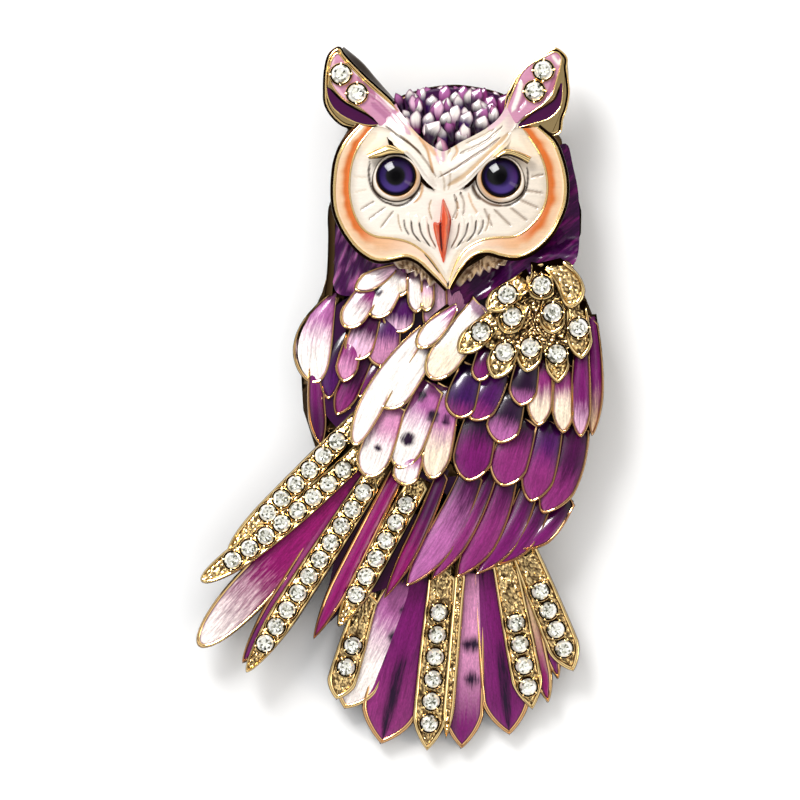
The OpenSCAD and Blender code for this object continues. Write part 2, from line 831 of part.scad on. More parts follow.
// The beak: a pointed ridge that stands on the face
beak_h = 1;
beak_edge_share = 0.3;
module beak() color("tomato") {
    base = [for (p = beak_points) concat(at(p[0], p[1]), face_z - cell_d + fit_gap)];
    edge = [for (p = base) [p[0], p[1], face_z + beak_h * beak_edge_share]];
    ridge = [for (p = [beak_points[0], beak_points[3]])
        concat(at(p[0], mix(beak_middle[1], p[1], 0.7)), face_z + beak_h)];
    n = len(base);
    low = [for (k = [0:n - 1]) k];
    polyhedron(concat(base, edge, ridge), concat([low],
        [for (k = low) [k, k + n, (k + 1) % n + n, (k + 1) % n]],
        [[2 * n, n + 1, n], [2 * n, n + 2, n + 1], [2 * n, 2 * n + 1, n + 2],
            [2 * n + 1, n + 3, n + 2], [2 * n + 1, n + 4, n + 3],
            [2 * n + 1, 2 * n, n + 4], [2 * n, n + 5, n + 4], [2 * n, n, n + 5]]));
}

module ear_stone_1() color("white") ear_place(0) seated(accent_d);
module ear_stone_2() color("white") ear_place(1) seated(accent_d);
module ear_stone_3() color("white") ear_place(2) seated(accent_d);
module ear_stone_4() color("white") ear_place(3) seated(accent_d);
module shoulder_stone_1() color("white") shoulder_place(0) seated(accent_d);
module shoulder_stone_2() color("white") shoulder_place(1) seated(accent_d);
module shoulder_stone_3() color("white") shoulder_place(2) seated(accent_d);
module shoulder_stone_4() color("white") shoulder_place(3) seated(accent_d);
module shoulder_stone_5() color("white") shoulder_place(4) seated(accent_d);
module shoulder_stone_6() color("white") shoulder_place(5) seated(accent_d);
module shoulder_stone_7() color("white") shoulder_place(6) seated(accent_d);
module shoulder_stone_8() color("white") shoulder_place(7) seated(accent_d);
module shoulder_stone_9() color("white") shoulder_place(8) seated(accent_d);

module spread_stones(i) {
    translate([0, 0, spread_z])
        along(spread[0][i], spread_rows[i])
            seated(stone_d);
}
module tail_stones(i) {
    tail_tilted()
        translate([0, 0, tail_heights[0]])
            along(tail[0][i], tail_rows[i])
                seated(stone_d);
}
module wing_stones_1() color("white") spread_stones(0);
module wing_stones_2() color("white") spread_stones(1);
module wing_stones_3() color("white") spread_stones(2);
module wing_stones_4() color("white") spread_stones(3);
module tail_stones_1() color("white") tail_stones(0);
module tail_stones_2() color("white") tail_stones(1);
module tail_stones_3() color("white") tail_stones(3);
module tail_stones_4() color("white") tail_stones(4);

casting();
pin_back();
face_enamel();
face_band_left();
face_band_right();
brow_enamel();
crown_enamel();
ear_enamel_left();
ear_enamel_right();
ear_shade_left();
ear_shade_right();
eye_left();
eye_right();
beak();
neck_enamel();
breast_enamel();
covert_enamel();
primary_enamel();
wing_enamel();
tail_enamel();
ear_stone_1();
ear_stone_2();
ear_stone_3();
ear_stone_4();
shoulder_stone_1();
shoulder_stone_2();
shoulder_stone_3();
shoulder_stone_4();
shoulder_stone_5();
shoulder_stone_6();
shoulder_stone_7();
shoulder_stone_8();
shoulder_stone_9();
wing_stones_1();
wing_stones_2();
wing_stones_3();
wing_stones_4();
tail_stones_1();
tail_stones_2();
tail_stones_3();
tail_stones_4();
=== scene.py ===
# %% [markdown]
# # An enamelled owl brooch
# The real brooch is one casting in zinc alloy. Its feathers are shallow cells with raised rims, the
# rims are plated in pale gold, and coloured enamel lies in the cells. Foiled glass stones sit in
# drilled seats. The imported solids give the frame: their places are kept, and the surfaces that the eye
# reads, such as tilted feathers, domed enamel and cut stones, are made again here in finer form.

import math
from bisect import bisect_left

import bmesh
import bpy
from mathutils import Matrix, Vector, noise


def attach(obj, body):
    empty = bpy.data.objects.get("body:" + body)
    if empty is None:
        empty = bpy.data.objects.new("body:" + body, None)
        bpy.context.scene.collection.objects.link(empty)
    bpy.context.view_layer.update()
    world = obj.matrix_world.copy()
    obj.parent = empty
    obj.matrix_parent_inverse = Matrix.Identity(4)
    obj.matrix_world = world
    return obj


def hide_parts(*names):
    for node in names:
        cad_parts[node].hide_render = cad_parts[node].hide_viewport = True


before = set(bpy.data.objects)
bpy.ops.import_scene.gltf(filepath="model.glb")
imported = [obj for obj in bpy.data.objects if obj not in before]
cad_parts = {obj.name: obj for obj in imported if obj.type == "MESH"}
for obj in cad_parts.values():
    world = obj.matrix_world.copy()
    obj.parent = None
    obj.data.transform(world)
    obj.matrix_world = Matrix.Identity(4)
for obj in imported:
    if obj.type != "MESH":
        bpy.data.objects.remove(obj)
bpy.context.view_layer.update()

# %% [markdown]
# ## The drawing grid
# A flat figure like this is easiest to place on a drawing grid. One step across is the brooch's width
# over 408, and one step up is its height over 700, with the zero in the middle. Everything below is
# worked out in millimetres, and turned to metres when a vertex is placed.

# %% Grid and units
MM = 0.001
STEP_X = 35 / 408
STEP_Y = 60 / 700
STEP = (STEP_X + STEP_Y) / 2


def at(x, y):
    """A place on the drawing grid, in millimetres."""
    return Vector((x * STEP_X, y * STEP_Y))


def on_grid(p):
    """The grid's two numbers for a place in millimetres."""
    return p.x / STEP_X, p.y / STEP_Y


def mix(a, b, t):
    return a + (b - a) * t


def smooth(low, high, x):
    """0 below low, 1 above high, and a soft curve between."""
    t = min(1.0, max(0.0, (x - low) / (high - low)))
    return t * t * (3 - 2 * t)


print("one grid step is", round(STEP, 4), "mm")

# %% [markdown]
# ## Colour
# Enamel colours are picked as a painter would name them. They are sRGB hex values, and one function
# turns them to the linear values that a shader works with. Two more blend them.

# %% Colours
def linear(code, alpha=1.0):
    parts = [int(code[i:i + 2], 16) / 255 for i in (1, 3, 5)]
    return tuple(c / 12.92 if c <= 0.04045 else ((c + 0.055) / 1.055) ** 2.4 for c in parts) + (alpha,)


SHADES = {name: linear(code) for name, code in {
    "white": "#E9E0DB", "cream": "#E4D3BC", "tan": "#C8A882", "blush": "#D4AAC2", "rose": "#C080A6",
    "lilac": "#A25A92", "mauve": "#7C2666", "orchid": "#68125A", "magenta": "#7C1058",
    "plum": "#40073A", "purple": "#440C50", "violet": "#320A48", "dusk": "#220628",
    "peach": "#D8A67C", "coral": "#CC4A2A", "pink": "#C08AA2"}.items()}


def blend(first, second, t):
    """A colour between two shades, each given by its name or as a colour."""
    return tuple(mix(a, b, t) for a, b in zip(SHADES.get(first, first), SHADES.get(second, second)))


def coated(colour, *coats):
    """A colour under thin coats of other shades. Each coat is a shade and its amount."""
    for shade, amount in coats:
        colour = blend(colour, shade, amount)
    return colour


print(len(SHADES), "enamel colours")

# %% [markdown]
# ## One way to make a surface
# A square grid from `create_grid` is bent into every surface here: a feather, a rim, a wire or a dome.
# A place function says where each point of the grid goes and what it carries, such as its colour. The
# seam of a closed form and the points that meet in a pole are welded afterwards. Modelling each of the
# ninety feathers by hand would take days, and a lathe or a spin gives round forms only.

# %% Sheets bent from a grid
COLOURS = ("root", "tip")
NUMBERS = ("fade", "mark", "edge", "patina_and_shade", "rose")
WELD = 1e-7


def new_mesh():
    bm = bmesh.new()
    for name in COLOURS:
        bm.verts.layers.float_color.new(name)
    for name in NUMBERS:
        bm.verts.layers.float.new(name)
    bm.verts.layers.float_vector.new("lay")
    return bm


def layer_of(bm, name):
    layers = bm.verts.layers
    kind = layers.float_color if name in COLOURS else layers.float if name in NUMBERS else layers.float_vector
    return kind[name]


def bend_sheet(bm, across, around, place, material=0, cap=None):
    """Bends a grid of across by around cells. place(u, w) gives a point in mm and what it carries."""
    faces_before = len(bm.faces)
    verts = bmesh.ops.create_grid(bm, x_segments=across, y_segments=around, size=0.5)["verts"]
    for v in verts:
        point, given = place(v.co.x + 0.5, v.co.y + 0.5)
        v.co = Vector(point) * MM
        for name, value in given.items():
            v[layer_of(bm, name)] = value
    bm.faces.ensure_lookup_table()
    for f in bm.faces[faces_before:]:
        f.material_index = material
    bmesh.ops.remove_doubles(bm, verts=verts, dist=WELD)
    if cap is not None:
        own = [v for v in verts if v.is_valid]
        rims = list({e for v in own for e in v.link_edges if e.is_boundary})
        for f in bmesh.ops.holes_fill(bm, edges=rims, sides=0)["faces"]:
            f.material_index = cap


def keep_piece(bm, name, materials, replaced=(), angle=40):
    """Makes the mesh an object with its materials, riding on the brooch's one body."""
    bmesh.ops.dissolve_degenerate(bm, dist=1e-8, edges=bm.edges)
    bmesh.ops.recalc_face_normals(bm, faces=bm.faces)
    mesh = bpy.data.meshes.new(name)
    bm.to_mesh(mesh)
    bm.free()
    mesh.shade_smooth()
    mesh.set_sharp_from_angle(angle=math.radians(angle))
    obj = bpy.data.objects.new(name, mesh)
    bpy.context.scene.collection.objects.link(obj)
    for m in materials:
        mesh.materials.append(m)
    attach(obj, "root")
    if replaced:
        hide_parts(*replaced)
    print(name, len(mesh.polygons), "faces")


print("each point can carry", COLOURS + NUMBERS)

# %% [markdown]
# ## Camera
# The photograph looks straight down on the brooch through a long lens, which keeps the sides of the
# relief out of sight, so the camera stands far above it.

# %% Camera
VIEW_WIDTH = 68.6
LENS = 400
SENSOR = 36
FOCUS_HEIGHT = 5.0
camera_data = bpy.data.cameras.new("camera")
camera_data.lens = LENS
camera_data.sensor_width = SENSOR
camera_data.clip_start = 0.01
camera = bpy.data.objects.new("camera", camera_data)
camera.location = (0, 0, (FOCUS_HEIGHT + VIEW_WIDTH * LENS / SENSOR) * MM)
bpy.context.scene.collection.objects.link(camera)
bpy.context.scene.camera = camera
print("camera height in mm", round(camera.location.z * 1000))

# %% [markdown]
# ## Nodes
# A shader is a small net of nodes. One function adds a node with its settings and links, so that a
# material can be read from top to bottom like a recipe.

# %% Adding a node
def join(tree, node, **links):
    """Sets or joins inputs by name, or by number where names repeat, such as i0."""
    for key, value in links.items():
        socket = node.inputs[int(key[1:]) if key[1:].isdigit() else key.replace("_", " ")]
        if isinstance(value, bpy.types.NodeSocket):
            tree.links.new(value, socket)
        else:
            socket.default_value = value


def add(tree, kind, settings=None, stops=(), **links):
    """Adds a node with its settings and links, and the stops of its colour ramp where it has one."""
    node = tree.nodes.new(kind)
    for key, value in (settings or {}).items():
        setattr(node, key, value)
    while stops and len(node.color_ramp.elements) < len(stops):
        node.color_ramp.elements.new(0.5)
    if stops:
        for end, (place, colour) in zip(node.color_ramp.elements, stops):
            end.position, end.color = place, colour
    join(tree, node, **links)
    return node


def new_material(name):
    """A material with its tree and its shader."""
    material = bpy.data.materials.new(name)
    material.use_nodes = True
    return material, material.node_tree, material.node_tree.nodes["Principled BSDF"]


print("nodes of a new material:", [n.name for n in new_material("trial")[1].nodes])
bpy.data.materials.remove(bpy.data.materials["trial"])

# %% [markdown]
# ## Sky and lamps
# Metal needs something to reflect. The sky of this little studio is bright overhead and dark near the
# horizon, and so a bevelled rim shows a bright line beside a dark one. Straight above, where the camera
# stands, a dark hood keeps haze off the enamel. A softbox at the upper left lights the relief from one
# side, and a second one there is seen in polish only: it is the window in the eyes.

# %% Studio
SKY = [(0.0, 0.06), (0.30, 0.10), (0.50, 0.55), (0.64, 1.0), (0.80, 1.0), (0.90, 0.55), (0.97, 0.25)]
world = bpy.data.worlds.new("studio")
bpy.context.scene.world = world
world.use_nodes = True
sky = world.node_tree
sky.nodes.clear()
aim = add(sky, "ShaderNodeTexCoord").outputs["Generated"]
rise = add(sky, "ShaderNodeSeparateXYZ", Vector=aim).outputs["Z"]
tone = add(sky, "ShaderNodeValToRGB", stops=[(z, (grey, grey, grey, 1)) for z, grey in SKY], Fac=rise)
room = add(sky, "ShaderNodeBackground", Color=tone.outputs["Color"], Strength=1.2)
plain = add(sky, "ShaderNodeBackground", Color=(0.93, 0.93, 0.92, 1), Strength=1.0)
seen = add(sky, "ShaderNodeLightPath").outputs["Is Camera Ray"]
both = add(sky, "ShaderNodeMixShader", i0=seen, i1=room.outputs[0], i2=plain.outputs[0])
add(sky, "ShaderNodeOutputWorld", Surface=both.outputs[0])


def softbox(name, azimuth, zenith, distance, size, power, tint="#FFFFFF"):
    """A square lamp that looks at the brooch from an angle. Distance and size are in mm."""
    lamp = bpy.data.lights.new(name, "AREA")
    lamp.shape = "RECTANGLE"
    lamp.size, lamp.size_y = size[0] * MM, size[1] * MM
    lamp.energy = power
    lamp.color = linear(tint)[:3]
    obj = bpy.data.objects.new(name, lamp)
    a, z = math.radians(azimuth), math.radians(zenith)
    out = Vector((math.sin(z) * math.cos(a), math.sin(z) * math.sin(a), math.cos(z)))
    obj.location = out * distance * MM
    obj.rotation_euler = out.to_track_quat("Z", "Y").to_euler()
    bpy.context.scene.collection.objects.link(obj)
    return obj


softbox("window_light", 118, 46, 260, (90, 110), 0.42)
softbox("window_glint", 121, 50, 260, (130, 130), 2.1).visible_diffuse = False
softbox("side_light", -25, 58, 300, (60, 200), 0.16, "#FFF1DE")
bpy.context.scene.view_settings.view_transform = "Standard"

# %% [markdown]
# ## Floor
# The photograph has no ground but white. A sheet of matt paper takes the soft shadow that shows how
# high the brooch lies, and its low gloss keeps the lamps out of it.

# %% Floor
FLOOR_HALF = 1.5
bm = bmesh.new()
bmesh.ops.create_grid(bm, x_segments=1, y_segments=1, size=FLOOR_HALF)
floor_mesh = bpy.data.meshes.new("floor")
bm.to_mesh(floor_mesh)
bm.free()
floor = bpy.data.objects.new("floor", floor_mesh)
bpy.context.scene.collection.objects.link(floor)
paper, tree, base = new_material("matt_paper")
join(tree, base, Base_Color=linear("#FFFFFF"), Roughness=0.9, Specular_IOR_Level=0.1)
floor_mesh.materials.append(paper)
print("floor", 2 * FLOOR_HALF, "m wide")

# %% [markdown]
# ## Gold plating
# Thin gold over bright zinc is a pale champagne colour, polished on the rims and dark brown in the
# recesses. That brown is partly patina where the polishing wheel does not reach, and partly painted
# shade in recesses, on walls and on undersides. A single gold colour would look like plastic, so each
# point carries how deep it lies, which sets this patina and painted shade, and whether its rim is the
# rosier gold that borders the purple feathers. The cast ground has lumps of about 0.3 mm, and the
# polished rims have slow waves.

# %% Gold
GOLDS = {"pale": "#F2D294", "rosy": "#DB9F6C", "brown_patina_and_shade": "#54300F", "lowest": "#1C0E05"}


def plated_gold(name, grain, roughness):
    """Gold with a fine cast grain. grain is the size of its lumps in millimetres."""
    material, tree, base = new_material(name)
    where = add(tree, "ShaderNodeTexCoord").outputs["Object"]
    lumps = add(tree, "ShaderNodeTexNoise", Vector=where, Scale=1 / (grain * MM), Detail=3.0).outputs["Fac"]
    patina_and_shade, rosy = (add(tree, "ShaderNodeAttribute", {"attribute_name": word}).outputs["Fac"]
                  for word in ("patina_and_shade", "rose"))
    # Painted patina and shade: brown where a point is marked deep, broken up by the lumps, and near black
    # where it is marked deepest.
    brown_patina_and_shade = add(tree, "ShaderNodeMath", {"operation": "MULTIPLY_ADD", "use_clamp": True}, i0=lumps,
               i1=0.5, i2=patina_and_shade).outputs[0]
    low = add(tree, "ShaderNodeMapRange", Value=brown_patina_and_shade, From_Min=0.35, From_Max=1.15).outputs[0]
    lowest = add(tree, "ShaderNodeMapRange", Value=patina_and_shade, From_Min=0.6, From_Max=1.0).outputs[0]
    colour = linear(GOLDS["pale"])
    for part, word in ((rosy, "rosy"), (low, "brown_patina_and_shade"), (lowest, "lowest")):
        colour = add(tree, "ShaderNodeMix", {"data_type": "RGBA"}, i0=part, i6=colour,
                     i7=linear(GOLDS[word])).outputs[2]
    bump = add(tree, "ShaderNodeBump", Height=lumps, Strength=0.25, Distance=0.02 * MM).outputs[0]
    join(tree, base, Base_Color=colour, Metallic=1.0, Roughness=roughness, Normal=bump)
    return material


polished_gold = plated_gold("gold_plated_zinc_polished", 0.9, 0.16)
cast_gold = plated_gold("gold_plated_zinc_as_cast", 0.28, 0.26)
print("metals:", polished_gold.name, cast_gold.name)

# %% [markdown]
# ## Enamel
# Soft enamel is a coloured resin that is dripped into a cell and polished with a clear top coat. The
# colour runs from the root of a feather to its tip, in streaks laid with a brush along the feather. An
# image could hold such streaks, but noise that is long one way and narrow the other gives them at any
# size. It also breaks the border between two colours, and lets in dark flecks. Against the rim, and at
# the root where the row above overhangs, the colour is darkened: painted shade. A streak is about
# 0.22 mm wide and 1.8 mm long.

# %% Enamel
BRUSH_PER_MM = (0.55, 4.5, 1.0)
GRAIN_PER_MM = (4.0, 9.0, 1.0)
RIM_SHADE_WIDTH = 0.22


def laid_enamel(name, streak, grain):
    """streak: how far the brush breaks the border of two colours. grain: how strong its marks are."""
    material, tree, base = new_material(name)
    lay, fade, root, tip, mark, edge = (
        add(tree, "ShaderNodeAttribute", {"attribute_name": word}).outputs[out]
        for word, out in (("lay", "Vector"), ("fade", "Fac"), ("root", "Color"), ("tip", "Color"),
                          ("mark", "Fac"), ("edge", "Fac")))
    strokes, grains = (
        add(tree, "ShaderNodeTexNoise", Scale=1.0, Detail=detail, Roughness=roughness,
            Vector=add(tree, "ShaderNodeMapping", Vector=lay, Scale=per_mm).outputs[0]).outputs["Fac"]
        for per_mm, detail, roughness in ((BRUSH_PER_MM, 4.0, 0.65), (GRAIN_PER_MM, 2.0, 0.5)))
    broken = add(tree, "ShaderNodeMath", {"operation": "MULTIPLY_ADD"}, i0=strokes, i1=streak, i2=fade)
    turned = add(tree, "ShaderNodeMapRange", {"interpolation_type": "SMOOTHSTEP"},
                 Value=broken.outputs[0], From_Min=streak / 2, From_Max=1 + streak / 2)
    colour = add(tree, "ShaderNodeMix", {"data_type": "RGBA"}, i0=turned.outputs[0], i6=root, i7=tip)
    for pattern, darker, lighter in ((grains, 0.16, 0.35), (strokes, 0.32, 0.6)):
        lit = add(tree, "ShaderNodeMapRange", Value=pattern, From_Min=0.25, From_Max=0.75,
                  To_Min=1 - darker * grain, To_Max=1 + lighter * grain)
        colour = add(tree, "ShaderNodeMix", {"data_type": "RGBA", "blend_type": "MULTIPLY"}, i0=1.0,
                     i6=colour.outputs[2], i7=lit.outputs[0])
    flecked = add(tree, "ShaderNodeMath", {"operation": "MULTIPLY_ADD"}, i0=strokes, i1=0.9, i2=mark)
    fleck = add(tree, "ShaderNodeMapRange", {"interpolation_type": "SMOOTHSTEP"},
                Value=flecked.outputs[0], From_Min=0.72, From_Max=1.2)
    colour = add(tree, "ShaderNodeMix", {"data_type": "RGBA"}, i0=fleck.outputs[0], i6=colour.outputs[2],
                 i7=SHADES["dusk"])
    # Painted shade: within 0.22 mm of the rim the colour is multiplied by a dusky mauve.
    painted_rim_shade = add(tree, "ShaderNodeMapRange", {"interpolation_type": "SMOOTHSTEP"}, Value=edge,
                 From_Min=0.0, From_Max=RIM_SHADE_WIDTH, To_Min=1.0, To_Max=0.0)
    colour = add(tree, "ShaderNodeMix", {"data_type": "RGBA", "blend_type": "MULTIPLY"},
                 i0=painted_rim_shade.outputs[0], i6=colour.outputs[2], i7=linear("#9A7A96"))
    bump = add(tree, "ShaderNodeBump", Height=strokes, Strength=0.12, Distance=0.05 * MM)
    join(tree, base, Base_Color=colour.outputs[2], Roughness=0.2, Specular_IOR_Level=0.2, Coat_Weight=0.3,
         Coat_Roughness=0.06, Normal=bump.outputs[0])
    return material


feather_enamel = laid_enamel("soft_enamel_brushed", 0.9, 0.9)
face_enamel = laid_enamel("soft_enamel_plain", 0.35, 0.15)
print("enamels:", feather_enamel.name, face_enamel.name)

# %% [markdown]
# ## Feathers
# A feather is a leaf: it swells to its widest place and closes in the tip. One row of the tables gives
# its root and tip on the drawing grid, its width, how far it bends, how wide its root is, how sharp
# its tip, the colours of root and tip, where one turns into the other, and how rosy its rim is. A
# feather that holds stones has gold in place of its colours. The rows lie like tiles, and each stands
# half a millimetre above the next. Tables suit this better than a rule, because each feather of the real
# one was drawn by hand.

# %% Feather tables
RX, RY, TX, TY, WIDTH, BEND, ROOT, NOSE, FROM, TO, TURN, ROSY = range(12)
GOLD = None

shoulder = [
    [(141, 127, 141, 99, 27, 0, 0.7, 0.5, GOLD, 0, 0, 0),
     (123, 117, 86, 90, 25, 0, 0.7, 0.6, GOLD, 0, 0, 0),
     (156, 133, 174, 92, 27, 5, 0.7, 0.5, GOLD, 0, 0, 0)],
    [(119, 99, 104, 66, 28, 0, 0.7, 0.6, GOLD, 0, 0, 0),
     (153, 103, 151, 65, 27, 0, 0.7, 0.6, GOLD, 0, 0, 0),
     (176, 92, 181, 40, 26, 0, 0.7, 0.85, GOLD, 0, 0, 0)],
    [(133, 72, 126, 27, 27, 0, 0.7, 0.65, GOLD, 0, 0, 0),
     (113, 68, 93, 21, 29, 0, 0.7, 0.65, GOLD, 0, 0, 0),
     (155, 66, 158, 16, 25, 0, 0.7, 0.85, GOLD, 0, 0, 0),
     (99, 85, 58, 47, 26, 0, 0.7, 0.6, GOLD, 0, 0, 0)]]
coverts = [
    [(58, 96, 17, 52, 23, 0, 0.2, 0.5, "lilac", "white", 0.35, 0.2),
     (78, 88, 29, 21, 35, 0, 0.6, 0.5, "white", "cream", 0.5, 0.1),
     (86, 52, 78, 18, 21, 0, 0.6, 0.55, "plum", "orchid", 0.5, 0.5),
     (128, 40, 120, -7, 30, 0, 0.6, 0.65, "dusk", "lilac", 0.75, 0.6),
     (142, 34, 138, -27, 27, 0, 0.6, 0.65, "mauve", "cream", 0.5, 0.5),
     (163, 30, 163, -34, 24, 0, 0.6, 0.65, "mauve", "cream", 0.42, 0.5),
     (181, 44, 180, -38, 22, 0, 0.6, 0.65, "orchid", "blush", 0.75, 0.7)],
    [(70, 28, 57, -19, 33, -1, 0.6, 0.55, "violet", "mauve", 0.8, 0.6),
     (98, 26, 71, -21, 33, 1, 0.6, 0.6, "purple", "mauve", 0.7, 0.6),
     (112, 4, 98, -44, 36, 0, 0.6, 0.65, "dusk", "lilac", 0.6, 0.6),
     (24, 54, -19, -8, 39, 0, 0.6, 0.5, "white", "white", 0.5, 0.1),
     (26, 72, -47, -46, 27, -7, 0.5, 0.5, "white", "white", 0.5, 0.1),
     (192, 86, 192, -36, 18, 3, 0.5, 0.65, "orchid", "tan", 0.8, 0.7)],
    [(30, 10, -3, -69, 35, 0, 0.6, 0.5, "lilac", "white", 0.4, 0.3),
     (48, 6, 31, -80, 32, 0, 0.6, 0.55, "lilac", "cream", 0.5, 0.4),
     (82, -14, 67, -82, 41, 0, 0.6, 0.6, "dusk", "orchid", 0.35, 0.7),
     (122, -24, 101, -87, 40, 0, 0.6, 0.6, "plum", "mauve", 0.3, 0.7),
     (150, -28, 130, -103, 35, 1, 0.6, 0.65, "purple", "mauve", 0.4, 0.7),
     (177, -28, 142, -114, 35, 6, 0.6, 0.65, "plum", "mauve", 0.6, 0.7),
     (-8, -8, -34, -78, 35, 0, 0.6, 0.5, "rose", "white", 0.45, 0.3),
     (14, -46, 2, -86, 29, 0, 0.6, 0.5, "lilac", "white", 0.5, 0.4)]]
primaries = [
    [(42, -76, -16, -199, 18, 3, 0.7, 0.8, "plum", "magenta", 0.5, 0.9),
     (72, -74, 6, -187, 33, 6, 0.7, 0.8, "plum", "lilac", 0.3, 0.8),
     (89, -78, 31, -181, 21, 5, 0.7, 0.8, "plum", "mauve", 0.3, 0.9),
     (106, -80, 57, -178, 32, 6, 0.7, 0.8, "plum", "mauve", 0.25, 0.9),
     (130, -88, 76, -175, 26, 7, 0.7, 0.8, "plum", "orchid", 0.3, 0.9),
     (144, -98, 97, -166, 26, 6, 0.7, 0.8, "plum", "orchid", 0.4, 0.9),
     (166, -104, 122, -150, 23, 4, 0.7, 0.8, "plum", "orchid", 0.4, 0.9)]]
spread = [
    [(-46, -24, -172, -154, 25, 0, 0.8, 0.5, GOLD, 0, 0, 0),
     (-42, -56, -199, -182, 27, 5, 0.8, 0.45, GOLD, 0, 0, 0),
     (20, -80, -62, -227, 26, 0, 0.9, 0.6, GOLD, 0, 0, 0),
     (-26, -76, -154, -273, 29, 0, 0.8, 0.6, GOLD, 0, 0, 0),
     (-4, -76, -87, -240, 21, 0, 0.8, 0.8, "magenta", "magenta", 0.5, 1)],
    [(-50, -88, -158, -264, 30, 4, 0.6, 0.7, "magenta", "orchid", 0.7, 0.9),
     (-40, -72, -202, -247, 42, 0, 0.6, 0.5, "magenta", "white", 0.78, 0.3)]]
tail = [
    [(-36, -205, -64, -298, 30, 0, 0.8, 0.8, GOLD, 0, 0, 0),
     (42, -176, 27, -350, 35, 0, 0.8, 0.9, GOLD, 0, 0, 0),
     (60, -176, 46, -338, 13, 0, 0.9, 0.9, GOLD, 0, 0, 0),
     (104, -156, 133, -308, 32, 0, 0.8, 0.9, GOLD, 0, 0, 0),
     (122, -142, 174, -269, 33, 0, 0.8, 0.8, GOLD, 0, 0, 0)],
    [(6, -180, -56, -308, 44, 0, 0.8, 0.8, "lilac", "white", 0.45, 0.2),
     (26, -176, -19, -344, 56, -2, 0.6, 0.9, "orchid", "mauve", 0.6, 0.7),
     (68, -170, 62, -349, 42, 0, 0.8, 0.9, "rose", "orchid", 0.7, 0.7),
     (92, -164, 110, -335, 48, 0, 0.6, 0.9, "orchid", "orchid", 0.6, 0.7),
     (118, -152, 149, -302, 20, 0, 0.9, 0.8, "tan", "magenta", 0.6, 0.4),
     (128, -152, 159, -278, 16, 0, 0.9, 0.8, "magenta", "orchid", 0.5, 0.7)]]
breast = [
    [(-2, 134, -46, 110, 21, 0, 0.3, 0.6, "blush", "white", 0.4, 0.3),
     (-2, 128, -29, 82, 31, 0, 0.6, 0.55, "white", "white", 0.5, 0.3),
     (-24, 118, -56, 72, 28, 0, 0.6, 0.55, "mauve", "white", 0.5, 0.4),
     (2, 126, 0, 102, 16, 0, 0.6, 0.6, "white", "cream", 0.5, 0.3),
     (14, 124, 17, 86, 19, 0, 0.6, 0.6, "white", "white", 0.5, 0.3),
     (28, 120, 26, 87, 17, 0, 0.6, 0.6, "blush", "cream", 0.5, 0.3)],
    [(2, 108, -3, 66, 33, 0, 0.6, 0.55, "purple", "blush", 0.75, 0.2),
     (-30, 86, -46, 39, 31, 0, 0.6, 0.55, "plum", "blush", 0.5, 0.5),
     (-12, 84, -20, 32, 35, 0, 0.6, 0.55, "purple", "rose", 0.5, 0.5),
     (-46, 62, -57, 17, 24, 0, 0.6, 0.65, "mauve", "rose", 0.5, 0.6),
     (36, 126, 34, 62, 27, 0, 0.7, 0.6, "blush", "mauve", 0.75, 0.5),
     (60, 124, 52, 78, 30, 0, 0.7, 0.5, "rose", "rose", 0.5, 0.6)],
    [(-50, 72, -73, 0, 26, -6, 0.5, 0.65, "dusk", "purple", 0.5, 0.6),
     (-64, 110, -88, 16, 40, -9, 0.1, 0.5, "lilac", "white", 0.5, 0.3),
     (-84, 34, -79, -46, 19, -2, 0.6, 0.7, "orchid", "plum", 0.5, 0.6),
     (-34, 48, -64, -16, 25, 0, 0.6, 0.7, "plum", "mauve", 0.6, 0.7),
     (-16, 44, -42, 2, 23, 0, 0.6, 0.7, "plum", "orchid", 0.5, 0.7)]]
crown = [
    [(42, 244, 42, 268, 17, 0, 0.7, 0.5, "rose", "pink", 0.5, 0.4),
     (25, 256, 27, 279, 17, 0, 0.7, 0.5, "purple", "white", 0.45, 0.4),
     (59, 256, 58, 279, 17, 0, 0.7, 0.5, "purple", "white", 0.45, 0.4),
     (8, 266, 11, 290, 16, 0, 0.7, 0.5, "lilac", "white", 0.45, 0.4),
     (77, 266, 76, 290, 16, 0, 0.7, 0.5, "dusk", "blush", 0.55, 0.4),
     (93, 274, 93, 294, 15, 0, 0.7, 0.5, "plum", "rose", 0.5, 0.4)],
    [(42, 270, 43, 294, 17, 0, 0.7, 0.5, "violet", "white", 0.5, 0.4),
     (26, 276, 26, 299, 17, 0, 0.7, 0.5, "purple", "blush", 0.5, 0.4),
     (59, 276, 61, 299, 17, 0, 0.7, 0.5, "dusk", "white", 0.55, 0.4),
     (76, 284, 78, 304, 16, 0, 0.7, 0.5, "dusk", "lilac", 0.55, 0.4),
     (9, 284, 9, 303, 15, 0, 0.7, 0.5, "mauve", "blush", 0.5, 0.4)],
    [(34, 292, 34, 310, 17, 0, 0.9, 0.35, "purple", "lilac", 0.5, 0.4),
     (52, 293, 52, 311, 17, 0, 0.9, 0.35, "dusk", "lilac", 0.5, 0.4),
     (70, 292, 71, 310, 16, 0, 0.9, 0.35, "dusk", "mauve", 0.5, 0.4),
     (17, 294, 18, 308, 15, 0, 0.9, 0.35, "mauve", "lilac", 0.5, 0.4),
     (91, 286, 90, 307, 16, 0, 0.9, 0.35, "dusk", "mauve", 0.5, 0.4)]]
print("feathers on the crown, row by row:", [len(row) for row in crown])

# %% [markdown]
# ## Rows like roof tiles
# On the casting a row of feathers overlaps the next one, and steps down to it by about half a
# millimetre. Each height could be typed. Here they come from the number of the row, so that a row can be
# moved as a whole.

# %% Regions and their heights
LAYER = 0.48
FEATHER_Z, SPREAD_Z, TAIL_Z = 4.3, 4.4, 1.5


def heights(levels):
    return [FEATHER_Z + k * LAYER for k in levels]


